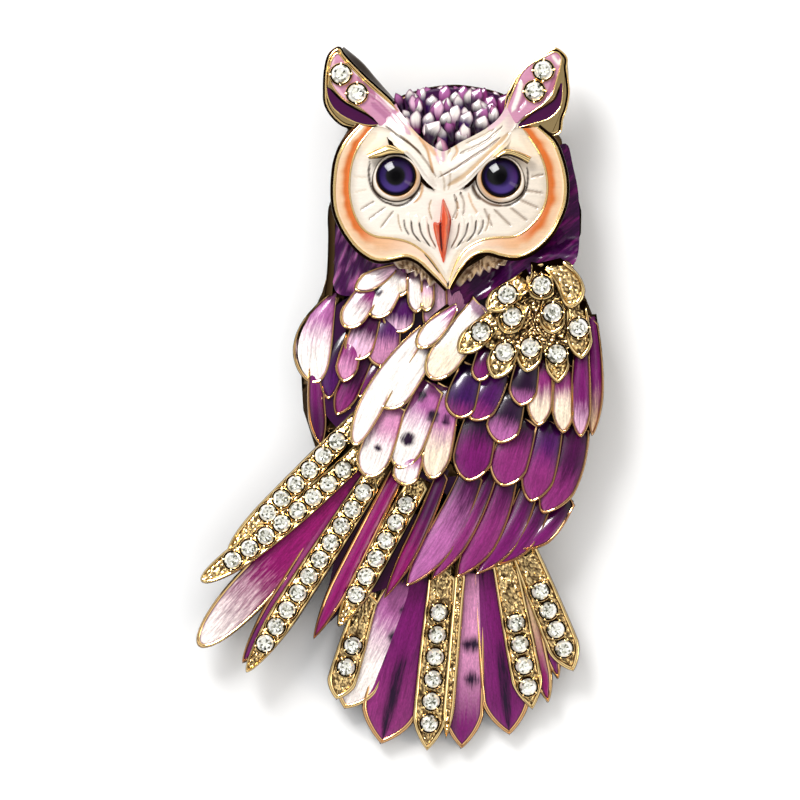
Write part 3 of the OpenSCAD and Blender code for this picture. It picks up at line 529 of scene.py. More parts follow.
regions = {
    "shoulder": (shoulder, heights([7.2, 6.4, 5.6])),
    "covert": (coverts, heights([4.6, 3.6, 2.6])),
    "primary": (primaries, heights([1.5])),
    "breast": (breast, heights([2.6, 1.6, 0.4])),
    "crown": (crown, heights([5.4, 4.6, 3.8])),
    "wing": (spread, [SPREAD_Z, SPREAD_Z - LAYER]),
    "tail": (tail, [TAIL_Z + LAYER, TAIL_Z])}
feathers = [(region, c, top) for region, (rows, tops) in regions.items()
            for row, top in zip(rows, tops) for c in row]
print(len(feathers), "feathers in", len(regions), "regions")

# %% [markdown]
# ## The shape of a feather
# The same few functions give the outline of a feather for its rim and for what lies in it, so the two
# always fit. The tail is drawn lying flat and then lifted at its root, as in the solids, and the body's
# feathers fall away a little towards its sides.

# %% Outline of a feather
WIDEST = {"wing": 0.68, "tail": 0.8, "primary": 0.6}
USUAL_WIDEST = 0.66
TUCK = {"tail": 22}
USUAL_TUCK = 11


def root_of(c):
    return at(c[RX], c[RY])


def length_of(c):
    return (at(c[TX], c[TY]) - root_of(c)).length


def half_width(region, c, s):
    """Half the width at a share s of the length: a quarter wave up to the widest place, then the tip."""
    widest, full = WIDEST.get(region, USUAL_WIDEST), c[WIDTH] * STEP / 2
    if s < widest:
        root = max(c[ROOT], 0.8) if c[ROOT] > 0.5 else c[ROOT]
        return full * mix(root, 1, math.sin(math.pi / 2 * max(0, s) / widest))
    q = (s - widest) / (1 - widest)
    return full * max(0.0, 1 - q ** (2 if c[NOSE] < 0.6 else 1.6)) ** c[NOSE]


def share(region, c, u):
    """Turns an even run of the grid into places along a feather that crowd towards its tip. A feather
    with a broad root starts before it, under the row above."""
    widest = WIDEST.get(region, USUAL_WIDEST)
    if u < 0.4:
        back = TUCK.get(region, USUAL_TUCK) * STEP / length_of(c) if c[ROOT] > 0.5 else 0
        return mix(-back, widest, u / 0.4)
    return widest + (1 - widest) * math.sin(math.pi / 2 * (u - 0.4) / 0.6)


def on_feather(region, c, s, t, inset):
    """Point of a feather at a share of its length, t across it, kept inside its edge by an inset."""
    along = mix(inset, length_of(c) - 1.4 * inset, s)
    aside = 4 * c[BEND] * STEP * s * (1 - s)
    aside += t * half_width(region, c, s) * (1 - 2 * inset / (c[WIDTH] * STEP))
    start, way = root_of(c), (at(c[TX], c[TY]) - root_of(c)).normalized()
    return start + way * along + Vector((-way.y, way.x)) * aside


print("the longest feather has", round(max(length_of(c) for region, c, top in feathers), 1), "mm")

# %% [markdown]
# ## How a feather lies
# A cast feather isn't flat. It rises from its root to its tip, bows across and rolls to one side, and so
# each one has its own light. That could be sculpted, but one formula for the height serves rims, enamel
# and beds alike, and they never part.

# %% Height of a feather
TUCKED_LOW = 0.3
ROLL = 0.11
STAGGER = 0.07
TAIL_ANGLE = math.radians(7.5)
TAIL_END = -353 * STEP_Y


def sag(p):
    """How far the body's feathers fall away towards its sides, in mm."""
    side = (p.x / STEP_X - 52) / 150
    return 0.45 * min(1.2, side * side)


def surface(region, c, top, s, t, p):
    """Height of a feather's surface: it rises from its root, and bows across and at its tip."""
    small = min(1.0, c[WIDTH] * STEP / 2.4)
    z = top - small * (0.28 * (1 - s) ** 1.5 + 0.10 * max(0, s) ** 6 + 0.10 * t * t)
    z -= TUCKED_LOW * smooth(0, -0.2, s)
    if region in ("wing", "tail"):
        return z + (STAGGER if c[RX] % 4 > 1 else 0)
    return z + ROLL * t * (1 if c[TX] < c[RX] else -1) - sag(p)


def placed(region, x, y, z):
    """The tail turns about its far end, where it touches the ground."""
    if region != "tail":
        return x, y, z
    y -= TAIL_END
    c, s = math.cos(TAIL_ANGLE), math.sin(TAIL_ANGLE)
    return x, TAIL_END + y * c - z * s, y * s + z * c


print("the tail's root rises by", round(170 * STEP_Y * math.sin(TAIL_ANGLE), 1), "mm")

# %% [markdown]
# ## Rims
# A rim is one closed wall that runs round the feather. Its cross-section has a small bevel outside
# and inside, because a bevel catches a line of light, and the casting shows no sharp edge. The wall
# is painted darker as it goes down, as shade.

# %% Rims
RIM = 0.22
BROAD = {"wing": 1.3, "tail": 1.4, "shoulder": 1.2}
RIM_FOOT = 0.85
# The third column sets the painted patina and shade: full on the low wall, none on the polished top.
RIM_SECTION = [  # inset, height against the surface, depth for the plating
    (0.00, -RIM_FOOT, 1.0), (0.00, -0.30, 1.0), (0.04, -0.05, 0.6), (0.08, 0.0, 0.0), (0.17, 0.0, 0.0),
    (0.22, -0.05, 0.2), (0.24, -0.30, 1.0)]
AROUND = 44


def add_rim(bm, region, c, top):
    half = AROUND // 2

    def place(u, w):
        inset, rise, patina_and_shade = RIM_SECTION[round(w * (len(RIM_SECTION) - 1))]
        k = round(u * AROUND) % AROUND
        s = share(region, c, min(k, AROUND - k) / half)
        t = 0 if k == half else -1 if k < half else 1
        p = on_feather(region, c, s, t, inset * BROAD.get(region, 1))
        z = top - RIM_FOOT if rise == -RIM_FOOT else surface(region, c, top, s, t, p) + rise
        return placed(region, p.x, p.y, z), {"patina_and_shade": patina_and_shade, "rose": c[ROSY]}

    bend_sheet(bm, AROUND, len(RIM_SECTION) - 1, place, cap=0)


metal = new_mesh()
for region, c, top in feathers:
    if region != "crown":
        add_rim(metal, region, c, top)
keep_piece(metal, "feather_rims", [polished_gold])

# %% [markdown]
# ## Lines through listed points
# The head and the grounds are modelled as an engraver would cut them. Smooth lines run through a few
# points that are placed on the grid, and patches are spread between such lines. Sculpting would need
# far more points, and could not be read as a list.

# %% Lines
def line_through(points, closed=False, cells=6):
    """A smooth line through points of the grid, as places in mm."""
    pts = [at(*p) for p in points]
    n = len(pts)
    line = []
    for i in range(n if closed else n - 1):
        a, b, c, d = (pts[(i + k) % n] if closed else pts[min(max(i + k, 0), n - 1)]
                      for k in (-1, 0, 1, 2))
        for j in range(cells):
            t = j / cells
            line.append(0.5 * (2 * b + (c - a) * t + (2 * a - 5 * b + 4 * c - d) * t * t
                               + (3 * b - a - 3 * c + d) * t ** 3))
    line.append(pts[0] if closed else pts[-1])
    return line


def runner(line):
    """Gives a function from a share of a line's length to the place there."""
    marks = [0.0]
    for a, b in zip(line, line[1:]):
        marks.append(marks[-1] + (b - a).length)

    def place(t):
        want = min(1.0, max(0.0, t)) * marks[-1]
        k = min(max(1, bisect_left(marks, want)), len(marks) - 1)
        return line[k - 1].lerp(line[k], (want - marks[k - 1]) / max(1e-9, marks[k] - marks[k - 1]))

    return place


print("a line of three points has", len(line_through([(0, 0), (5, 5), (10, 0)])), "places")

# %% [markdown]
# ## Strokes
# An engraver's stroke is a short groove or ridge with tapering ends, and the enameller tints it. A stroke
# here moves the points of a patch that lie near its line, and colours them. A groove in bump alone
# would not catch the light at its edges.

# %% Strokes
def strokes_from(table):
    """Strokes ready to use. A row holds points, half width in steps, lift in mm, colour, strength."""
    ready = []
    for points, width, lift, colour, strength in table:
        line = line_through(points)
        w = width * STEP
        box = (min(p.x for p in line) - w, max(p.x for p in line) + w,
               min(p.y for p in line) - w, max(p.y for p in line) + w)
        ready.append((line, w, lift, colour, strength, box))
    return ready


def pressed(strokes, p, colour, z):
    """Colour and height at a place, after the strokes that pass over it."""
    for line, w, lift, name, strength, box in strokes:
        if not (box[0] < p.x < box[1] and box[2] < p.y < box[3]):
            continue
        best, share_there = 1e9, 0.0
        for k, (a, b) in enumerate(zip(line, line[1:])):
            ab = b - a
            t = min(1.0, max(0.0, (p - a).dot(ab) / max(1e-12, ab.length_squared)))
            d = (p - a - ab * t).length
            if d < best:
                best, share_there = d, (k + t) / (len(line) - 1)
        taper = min(1.0, 0.35 + 5 * min(share_there, 1 - share_there))
        k = smooth(1.0, 0.35, best / (w * taper)) if best < w * taper else 0.0
        if k:
            z += lift * k
            colour = blend(colour, name, strength * k)
    return colour, z


def painted(colour, edge=1.0, lay=(0, 0, 0)):
    """What a point of a single colour carries."""
    return {"root": colour, "tip": colour, "fade": 0.0, "edge": edge, "lay": lay}


print("a stroke starts and ends at", round(0.35 * 100), "% of its width")

# %% [markdown]
# ## Patches, bands and wires
# A patch is spread from a middle place to a closed outline, a band lies between two lines, and a wire
# follows one. Patches and bands end in a skirt that goes down into the casting, so that no gap is seen
# from the side.

# %% Patches, bands and wires
SKIRT = 1.6
WIRE_SIDES = 8
WIRE_CELL = 0.16


def add_patch(bm, outline, centre, rings, around, paint, skirt=SKIRT):
    """A patch spread from a middle place to a closed outline, with a skirt that goes down."""
    border = runner(line_through(outline, closed=True))
    middle = at(*centre)

    def place(u, w):
        k = round(w * (rings + 1))
        p = middle.lerp(border(u), min(k, rings) / rings)
        z, given = paint(p, (1 - min(k, rings) / rings) * (border(u) - middle).length)
        return (p.x, p.y, z - (skirt if k > rings else 0)), given

    bend_sheet(bm, around, rings + 1, place, cap=0)


def add_band(bm, first, second, along, across, paint, skirt=SKIRT):
    """A band spread between two lines. paint gets the place and its shares along and across."""
    one, two = runner(line_through(first)), runner(line_through(second))

    def place(u, w):
        i, j = round(u * (along + 2)), round(w * (across + 2))
        hem = i in (0, along + 2) or j in (0, across + 2)
        s, t = min(max(i - 1, 0), along) / along, min(max(j - 1, 0), across) / across
        p = one(s).lerp(two(s), t)
        z, given = paint(p, s, t)
        return (p.x, p.y, z - (skirt if hem else 0)), given

    bend_sheet(bm, along + 2, across + 2, place, cap=0)


def add_wire(bm, points, width, z, ends=0.3, patina_and_shade=0.0, height=None, drop=0.3):
    """A gold wire: half width in steps, height of its middle in mm. It thins at its ends, rises by its
    height and goes down by its drop."""
    path = runner(line_through(points))
    total = sum((path((k + 1) / 50) - path(k / 50)).length for k in range(50))

    def place(u, w):
        here = path(u)
        way = (path(min(1, u + 0.004)) - path(max(0, u - 0.004))).normalized()
        size = width * STEP * mix(ends, 1, smooth(0, 0.12, min(u, 1 - u)))
        angle = 2 * math.pi * (round(w * WIRE_SIDES) % WIRE_SIDES) / WIRE_SIDES
        p = here + Vector((-way.y, way.x)) * size * math.cos(angle)
        rise = math.sin(angle) * (height or size)
        # The underside of a wire is painted dark: painted shade under it.
        low = smooth(0.35, -0.6, math.sin(angle))
        return (p.x, p.y, z + (rise if rise > 0 else rise * drop / size)), {"patina_and_shade": max(patina_and_shade, low)}

    bend_sheet(bm, max(8, int(total / WIRE_CELL)), WIRE_SIDES, place, cap=0)


print("skirts go down by", SKIRT, "mm")

# %% [markdown]
# ## Gold beds
# Where a feather holds stones, its bed is gold with a lumpy, granulated ground that sparkles between
# them. The lumps are real shape, made by noise that is folded at zero, because each one mirrors another
# part of the room. They are 0.28 mm wide.

# %% Gold beds
LUMP = 0.28
BED_CELL = 0.13


def lumps_at(p, layer):
    return abs(noise.noise(Vector((p.x, p.y, layer)) / LUMP)) * 2.2


def add_bed(bm, region, c, top):
    def place(u, w):
        s, t = mix(share(region, c, 0), 1, u), 2 * w - 1
        p = on_feather(region, c, s, t, RIM * BROAD[region] - 0.02)
        lumps = lumps_at(p, top)
        z = surface(region, c, top, s, t, p) - 0.2 + 0.16 * lumps * smooth(0, 0.3, 1 - abs(t))
        # The low places between the lumps are painted darker: patina and painted shade.
        return placed(region, p.x, p.y, z), {"patina_and_shade": 0.95 - 1.15 * lumps, "rose": c[ROSY]}

    bend_sheet(bm, max(12, int(length_of(c) / BED_CELL)), max(8, int(c[WIDTH] * STEP / BED_CELL)), place)


def shoulder_paint(p, edge):
    # Painted shade: the ground between the shoulder's stone feathers is dark, lighter only on the tops of its
    # lumps.
    lumps = lumps_at(p, 3)
    return 6.6 + 0.14 * lumps, {"patina_and_shade": 1.15 - 0.9 * lumps}


beds = new_mesh()
for region, c, top in feathers:
    if c[FROM] is GOLD:
        add_bed(beds, region, c, top)
add_patch(beds, [(84, 56), (98, 90), (112, 109), (130, 121), (146, 130), (158, 138), (170, 137), (177, 118),
                 (179, 92), (180, 60), (160, 50), (128, 46), (108, 48)], (134, 82), 40, 160, shoulder_paint,
          skirt=0.3)
keep_piece(beds, "stone_beds", [cast_gold], angle=60)

# %% [markdown]
# ## Enamel in the cells
# Enamel stands a little above its rim in the middle, because wet resin draws itself into a low dome. A
# tile is the feather's own outline again, kept inside the rim, with a short wall. It carries the
# colours of its root and tip, its dark flecks, and how far each point is from the rim; near the root
# that distance is counted short, so that painted shade falls there, under the row above.

# %% Enamel tiles
ALONG, ACROSS = 22, 10
APART = 7.3
# The flecks at (-22, 109) and (3, 105) are painted shade at the roots of breast feathers; the others are
# flecks of the plumage.
MARKS = [  # dark flecks of the plumage: place on the grid, radius
    (8, -39, 10), (22, 4, 8), (33, -16, 9), (46, -20, 7), (54, -57, 6), (72, -245, 13), (72, -283, 12),
    (-22, 109, 7), (3, 105, 5), (-60, 60, 9), (120, 20, 12), (1, -212, 8), (-7, -234, 7), (-17, -255, 5),
    (-22, -48, 6)]


def marked(p, region, c, s, t):
    """How dark a point is: in a fleck, or on the shaft of one of the tail's two broad feathers."""
    x, y = on_grid(p)
    fleck = 0.8 * max(smooth(1.5 * r, 0.2 * r, math.hypot(x - a, y - b)) for a, b, r in MARKS)
    shaft = 0.7 * smooth(0.6, 0.05, abs(t)) * smooth(0.2, 0.6, s)
    return max(fleck, shaft) if region == "tail" and c[WIDTH] > 46 else fleck


def add_tile(bm, region, c, top, order, inset=RIM, swell=0.14):
    def place(u, w):
        i, j = round(u * (ALONG + 2)), round(w * (ACROSS + 2))
        s = share(region, c, min(max(i - 1, 0), ALONG) / ALONG)
        t = -1 + 2 * min(max(j - 1, 0), ACROSS) / ACROSS
        p = on_feather(region, c, s, t, inset * BROAD.get(region, 1))
        z = surface(region, c, top, s, t, p) - 0.09
        z += swell * (1 - t * t) * math.sin(math.pi * min(1, max(0, s) + 0.1))
        if i in (0, ALONG + 2) or j in (0, ACROSS + 2):
            z -= 0.15
        n, half = length_of(c), half_width(region, c, s)
        return placed(region, p.x, p.y, z), {
            "root": SHADES[c[FROM]], "tip": SHADES[c[TO]], "fade": (s - c[TURN]) / 0.5 + 0.5,
            "mark": marked(p, region, c, s, t), "lay": (s * n, t * half, order * APART),
            # edge is also short near the root, where painted shade stands for the overhang of the row above.
            "edge": min((1 - abs(t)) * half, (1 - s) * n, 0.03 + 0.3 * (s + 0.02) * n)}

    bend_sheet(bm, ALONG + 2, ACROSS + 2, place, cap=0)


CROWN_KINDS = [  # step aside, step up, colours of root and tip (the cell's own if none), where they meet
    (0, 0, "dusk", "white", 0.6), (8, 5, "orchid", None, 0.4), (-5, 9, "dusk", "lilac", 0.6),
    (3, 13, "violet", "white", 0.65)]


def add_petals(bm, c, top, order):
    """The small feathers of the crown have no rim. Four of them grow from each cell, none quite alike."""
    for k, (aside, up, root, tip, turn) in enumerate(CROWN_KINDS):
        a, b = (noise.noise(Vector((order * 3.7 + 9 * k, shift, 0.5))) for shift in (1.3, 8.1))
        high = 18 + 8 * a
        x = c[RX] + aside + 5 * a
        y = min(c[RY] + up + 4 * b, 317 - 0.003 * (x - 50) ** 2 - high)
        leaf = (x, y - 5, x + 24 * b, y - 2 + high, c[WIDTH] * (0.72 + 0.4 * b), 6 * a, 0.5, 0.95,
                root, tip or c[TO], turn, 0)
        add_tile(bm, "crown", leaf, top - 0.1 * k + 0.3 * a, order + 0.3 * k, inset=0.0, swell=0.14)


SLOTS = {"covert": "violet_enamel", "primary": "magenta_enamel", "breast": "mauve_enamel",
         "crown": "violet_enamel", "wing": "violet_enamel", "tail": "magenta_enamel"}
tiles = {region: new_mesh() for region in regions if region in SLOTS}
for order, (region, c, top) in enumerate(feathers, 1):
    if region == "crown":
        add_petals(tiles[region], c, top, order)
    elif c[FROM] is not GOLD:
        add_tile(tiles[region], region, c, top, order)
for region, bm in tiles.items():
    keep_piece(bm, region + "_tiles", [face_enamel if region == "crown" else feather_enamel],
               [region + "_enamel"])

# %% [markdown]
# ## Face
# The face is two shallow discs that run together in the chin. Their field is ivory enamel with lines
# pressed into it that fan out from the eyes, and locks of feathers hang beside the beak. An orange band
# lies round each disc, between a fine wire and the polished edge. The borders are listed lines,
# because no circle follows them.

# %% Borders of the face
FACE_Z = 7.24
EAR_Z = 6.9
face_edge_left = [(-40, 274), (-54, 258), (-62, 240), (-65, 219), (-65, 200), (-62, 184), (-53, 166),
                  (-41, 151), (-28, 142), (-17, 140), (-5, 142), (7, 144), (19, 139), (30, 129),
                  (40, 119), (47.5, 111)]
face_edge_right = [(137, 272), (152, 258), (160, 240), (164.5, 219), (164, 200), (160, 186),
                   (151, 168), (138.5, 154), (126, 146), (114, 143), (100, 145), (90, 148), (78, 147),
                   (68, 141), (57, 127), (48.5, 111)]
wire_left = [(-27, 272), (-41, 254), (-48, 236), (-50.5, 216), (-49.5, 200), (-45, 184), (-37, 171),
             (-25, 163.5), (-9, 161.5), (7, 158), (20, 150.5), (29, 142), (38, 130), (46.5, 117)]
wire_right = [(122, 271), (136, 252), (144, 234), (147, 215), (145.5, 199), (139.5, 185),
              (131, 174.5), (122, 167), (112, 163), (96, 162), (80, 159), (66, 151), (56.5, 138),
              (49, 119)]
brow_low = [(-27, 277), (-17, 268), (-9, 257), (1, 248.5), (12, 239), (18.5, 229), (24, 220),
            (33, 211.5), (43, 206.5), (52, 207), (62, 212), (71, 219.5), (83, 233), (91, 240),
            (98, 246.5), (107, 254), (116, 268), (121, 276)]
brow_high = [(-4, 296), (0, 288), (6, 280), (13, 270), (24, 259), (34, 252), (43, 248), (52, 252),
             (62, 258), (74, 264), (86, 271), (97, 280), (104, 290), (108, 301)]
EYES = [(-4, 223.5), (101, 222)]
print("the eyes are", round((at(*EYES[1]) - at(*EYES[0])).length, 1), "mm apart")

# %% [markdown]
# ## Lines in the face
# Lines are cut into the metal under the ivory enamel: they fan out from each eye, dark arcs lie below
# the eyes, and locks hang beside the beak. A row of the table is one line, with its points, half width,
# lift, colour and strength.

# %% Strokes of the face
SHADES.update({name: linear(code) for name, code in {
    "ivory": "#E8DFD3", "shell": "#D6C8B6", "sand": "#A88C6C", "umber": "#2E190B", "slate": "#B9AC9C",
    "bark": "#654324", "honey": "#BC8545", "flame": "#C66422", "flesh": "#DDBB9A", "maroon": "#4E0F12",
    "ember": "#E07048", "dawn": "#DCB4C4", "aubergine": "#36083A"}.items()})


def mirrored(rows, middle=43.5):
    """The same strokes on the other side of the beak."""
    return [([(2 * middle - x, y) for x, y in points], *rest) for points, *rest in rows]


locks = [([(9, 186), (9, 172), (15, 160)], 3.2, 0.10, "ivory", 0.9),
         ([(17, 184), (18, 170), (26, 157)], 3.2, 0.12, "ivory", 0.9),
         ([(25, 182), (26, 167), (34, 152)], 3.2, 0.12, "ivory", 0.9),
         ([(4, 180), (5, 172), (9, 165)], 1.2, -0.12, "umber", 0.75),
         ([(11, 179), (13, 167), (20, 158)], 1.3, -0.14, "umber", 0.9),
         ([(19, 177), (22, 165), (30, 153)], 1.3, -0.14, "umber", 0.9),
         ([(28, 176), (30, 164), (36, 152)], 1.2, -0.12, "bark", 0.8),
         ([(-2, 186), (-1, 176), (2, 168)], 1.1, -0.08, "sand", 0.8),
         ([(31, 200), (29, 190), (32, 180)], 1.2, -0.10, "sand", 0.9)]
face_strokes = strokes_from([
    ([(-39, 190), (-26, 198)], 1.6, -0.14, "bark", 0.56),
    ([(-31, 180), (-15, 192)], 1.6, -0.14, "bark", 0.56),
    ([(-19, 172), (-7, 188)], 1.6, -0.14, "bark", 0.56),
    ([(-46, 207), (-33, 210)], 1.2, -0.06, "shell", 1), ([(-47, 223), (-34, 222)], 1.2, -0.06, "shell", 1),
    ([(130, 222.6), (143, 225)], 1.6, -0.14, "bark", 0.62),
    ([(126, 209), (142, 206.5)], 1.7, -0.14, "bark", 0.62),
    ([(120, 199.5), (138, 191.5)], 1.7, -0.14, "bark", 0.62),
    ([(110, 192), (127, 178.5)], 1.7, -0.14, "bark", 0.62),
    ([(94, 190), (110, 174)], 1.7, -0.14, "bark", 0.62), ([(84, 191), (92, 173)], 1.6, -0.12, "bark", 0.56),
    ([(-47, 240), (-38, 252), (-24, 266)], 6, -0.05, "shell", 0.8),
    ([(140, 235), (131, 250), (120, 264)], 6, -0.05, "shell", 0.9),
    ([(-12, 196), (-2, 194), (8, 197.5), (16, 207), (21, 216)], 1.7, -0.12, "umber", 0.95),
    ([(-30, 238), (-31, 226), (-29, 214), (-24, 205), (-16, 198), (-8, 195.5)], 1.6, -0.12, "umber", 0.95),
    ([(126.5, 232), (127.5, 222), (125.5, 210), (119, 201), (110, 195), (100, 193.5)], 1.5, -0.12, "umber",
     0.9),
    ([(103, 193.6), (92, 195), (83, 199.5), (76, 206), (72, 214)], 2.0, -0.12, "bark", 0.9),
    ([(17, 222), (22, 214), (20, 204), (14, 197)], 2.2, 0.04, "honey", 0.8),
    ([(73, 218), (74, 208), (80, 200)], 3.0, -0.05, "umber", 0.7),
    ([(60, 207), (64, 196), (63, 184)], 1.6, -0.12, "bark", 0.56),
    ([(54, 205), (57, 192), (52, 180)], 1.6, -0.12, "bark", 0.50),
    ([(68, 206), (72, 195), (77, 186), (79, 178)], 1.5, -0.08, "honey", 0.6),
    ([(60, 150), (52, 134), (48, 120)], 3.5, -0.05, "shell", 0.9),
    ([(27, 148), (38, 134), (46, 120)], 3.0, -0.05, "shell", 0.9)]
    + locks + mirrored(locks))
print(len(face_strokes), "strokes on the face")

# %% [markdown]
# ## Paint of the face
# Enamel on such a face is wiped from one colour into the next while it is wet. A paint function gives
# each point its colour and its height. Noise breaks the borders between the colours, as a brush would.

# %% Painting the face
def eye_bowl(p):
    """The disc sinks a little round each eye."""
    return -0.12 * sum(smooth(34, 22, math.dist(on_grid(p), e)) for e in EYES)


def face_paint(p, edge):
    # The field turns greyer within 0.9 mm of its border and dark brown right at it: painted shade against the
    # wires and the brow.
    base = coated("ivory", ("shell", 0.6 * smooth(40, 150, on_grid(p)[0])),
                  ("slate", 0.7 * smooth(0.9, 0.0, edge)))
    colour, z = pressed(face_strokes, p, base, FACE_Z + eye_bowl(p))
    return z, painted(blend(colour, "bark", 0.6 * smooth(0.14, 0.0, edge)), 1, (p.x, p.y, 1))


def band_paint(side):
    """The band is orange beside its wire in the upper half, and runs to cream outside and below."""
    def paint(p, s, t):
        n = noise.noise(Vector((p.x, p.y, side)) / 0.8)
        colour = coated(
            blend("peach", "flesh", smooth(0.4, 0.7, t + 0.2 * n)),
            ("ivory", 0.7 * smooth(0.8, 1.0, t) + 0.45 * smooth(0.6, 0.8, s)),
            ("flame", smooth(0.62, 0.50, s) * smooth(0.0, 0.06, t) * smooth(0.56, 0.28, t + 0.12 * n)),
            ("honey", 0.8 * smooth(0.95, 0.6, s) * smooth(0.12, 0.0, t)),
            ("bark", 0.5 * smooth(0.93, 1.0, t)))
        return FACE_Z - 0.05 + 0.16 * math.sin(math.pi * t), painted(colour, 1, (p.x, p.y, 2 + side))
    return paint


def beside(points, steps):
    """A line that runs beside another one, to its left by a number of steps."""
    moved = []
    for k, (x, y) in enumerate(points):
        a, b = points[max(0, k - 1)], points[min(len(points) - 1, k + 1)]
        n = math.hypot(b[0] - a[0], b[1] - a[1])
        moved.append((x - (b[1] - a[1]) / n * steps, y + (b[0] - a[0]) / n * steps))
    return moved


print("the field sinks by", round(-eye_bowl(at(*EYES[0])), 2), "mm at an eye")

# %% [markdown]
# ## Laying the face
# The field and the two bands are separate cells on the real brooch, with gold wires between them. They
# are separate patches here too, so that each wire has a real border to lie on. The outer wire is painted
# dark: it stands for the shade at the side of the head.

# %% Field, bands and wires of the face
SIDES = ("left", "right")
borders = ((wire_left, face_edge_left), (wire_right, face_edge_right))
under_the_brow = [(108, 266), (90, 250), (72, 232), (50, 216), (30, 225), (12, 248), (-8, 268)]
bm = new_mesh()
add_patch(bm, wire_left + wire_right[::-1] + under_the_brow, (48, 190), 84, 360, face_paint)
keep_piece(bm, "face_field", [face_enamel], ["face_enamel"], angle=60)
wires = new_mesh()
for side, (wire, edge) in enumerate(borders):
    bm = new_mesh()
    add_band(bm, wire, edge, 150, 10, band_paint(side), skirt=0.9)
    keep_piece(bm, "face_band_" + "ab"[side], [face_enamel], ["face_band_" + SIDES[side]])
    add_wire(wires, wire, 1.1, FACE_Z, ends=0.4)
    add_wire(wires, edge, 1.5, FACE_Z + 0.02, ends=0.6, drop=0.6)
# A dark wire outside each face edge is painted shade at the side of the head.
for edge, out in ((face_edge_left, -2.6), (face_edge_right, 2.6)):
    add_wire(wires, beside(edge, out), 1.7, FACE_Z - 0.2, patina_and_shade=1.0, ends=0.8, drop=1.3)
for line in ([(23, 148), (33, 135), (41, 122), (47, 113)], [(71, 141), (58, 131), (50, 118)]):
    add_wire(wires, line, 1.0, FACE_Z + 0.02, patina_and_shade=1.0, ends=0.2, height=0.05)


def neck_wall_paint(p, s, t):
    """The side wall of the neck shows on the left as a dark line, painted as shade."""
    return 5.0 - 0.3 * t, {"patina_and_shade": mix(0.9, 1.0, t)}


add_band(wires, [(-63, 206), (-65, 190), (-65, 160), (-66, 130), (-68, 104)],
         [(-66, 206), (-72, 190), (-72, 160), (-73, 130), (-76, 106)], 40, 4, neck_wall_paint, skirt=2.4)
keep_piece(wires, "face_wires", [polished_gold], angle=80)

# %% [markdown]
# ## Brow
# The brow is the boldest form of the head: a V that rises from both ears and meets above the beak. Its
# lower edge overhangs the eyes; the dark line under it that makes the owl frown is its shadow, painted
# as a dark wire.

# %% Strokes of the brow
# The umber, bark, honey and sand strokes with a negative lift are grooves along the folds, darkened as
# painted shade in the creases.
brow_strokes = strokes_from([
    ([(-14, 273), (-4, 265), (6, 258), (14, 252), (21, 245)], 1.4, -0.16, "umber", 0.85),
    ([(19, 262), (27, 250), (31, 235), (33, 226)], 2.0, -0.12, "honey", 0.8),
    ([(0, 264), (14, 252), (26, 238), (36, 222)], 1.6, -0.12, "bark", 0.6),
    ([(6, 250), (18, 238), (27, 225), (36, 214)], 2.6, 0.08, "ivory", 1.0),
    ([(39, 222), (56, 231.5), (70, 241), (86, 251), (100, 262)], 1.6, -0.16, "bark", 0.8),
    # This broad tan stroke is painted shade on the lower facet of the right arm.
    ([(48, 214), (64, 224), (80, 238), (94, 251), (108, 266)], 3.4, -0.08, "tan", 0.9),
    ([(56, 212), (70, 223), (84, 238), (97, 250), (108, 262), (116, 275)], 1.3, 0.08, "ivory", 1.0),
    ([(60, 246), (74, 252), (88, 260), (102, 273)], 1.8, -0.14, "bark", 0.6),
    ([(66, 256), (80, 262), (94, 270)], 1.6, -0.10, "sand", 0.7),
    ([(46, 262), (50, 254), (48, 245)], 1.6, -0.10, "sand", 0.9),
    ([(54, 256), (57, 248), (52, 239)], 1.8, -0.10, "honey", 0.7),
    ([(36, 254), (36, 245), (40, 236)], 2.0, -0.08, "dawn", 0.9),
    ([(43, 250), (43, 238)], 2.6, 0.04, "rose", 0.6),
    ([(25, 262), (30, 252), (36, 244)], 3.0, 0.03, "peach", 0.8),
    ([(10, 274), (17, 266), (26, 257)], 4.5, 0.0, "peach", 0.6),
    ([(-4, 300), (2, 290), (8, 281), (15, 272)], 7.0, 0.0, "pink", 0.95),
    ([(-8, 286), (0, 276), (10, 265)], 3.4, 0.04, "pink", 0.8),
    ([(108, 290), (100, 280), (88, 270)], 4.0, 0.0, "dawn", 0.8),
    ([(40, 228), (44, 218), (44, 208)], 1.4, -0.06, "sand", 0.6),
    ([(50, 228), (50, 218), (48, 210)], 1.4, -0.06, "sand", 0.6)])
print(len(brow_strokes), "strokes on the brow")

# %% [markdown]
# ## Relief of the brow
# The brow is highest at both sides and sinks into the face at its point. A band between two lines is
# used for it, because it keeps to both edges, which a bevelled curve can't do where the width changes so
# much.

# %% Brow
def brow_paint(p, s, t):
    """The V stands proud of the face at both sides, and runs into it at its point and at the ears."""
    x = on_grid(p)[0]
    ends = smooth(0.14, 0.0, s) + 0.8 * smooth(0.86, 1.0, s)
    rise = mix(0.30, 0.62, smooth(0, 0.3, s) * smooth(1, 0.7, s))
    z = FACE_Z + rise * (0.75 + 0.25 * smooth(0, 0.2, t)) * mix(1, 0.35, smooth(0.35, 1.0, t))
    z = mix(z, FACE_Z + 0.04, smooth(20, 10, abs(x - 47)) * smooth(0.55, 0.0, t))
    z = mix(EAR_Z - 0.1, z, smooth(-0.02, 0.2, s) * smooth(1.02, 0.82, s))
    base = coated("ivory", ("shell", 0.6 * smooth(0.6, 1, t) + 0.35 * smooth(60, 110, x)),
                  ("pink", 0.9 * ends * smooth(0.1, 0.5, t)))
    colour, z = pressed(brow_strokes, p, base, z)
    return z, painted(colour, 1, (p.x, p.y, 5))


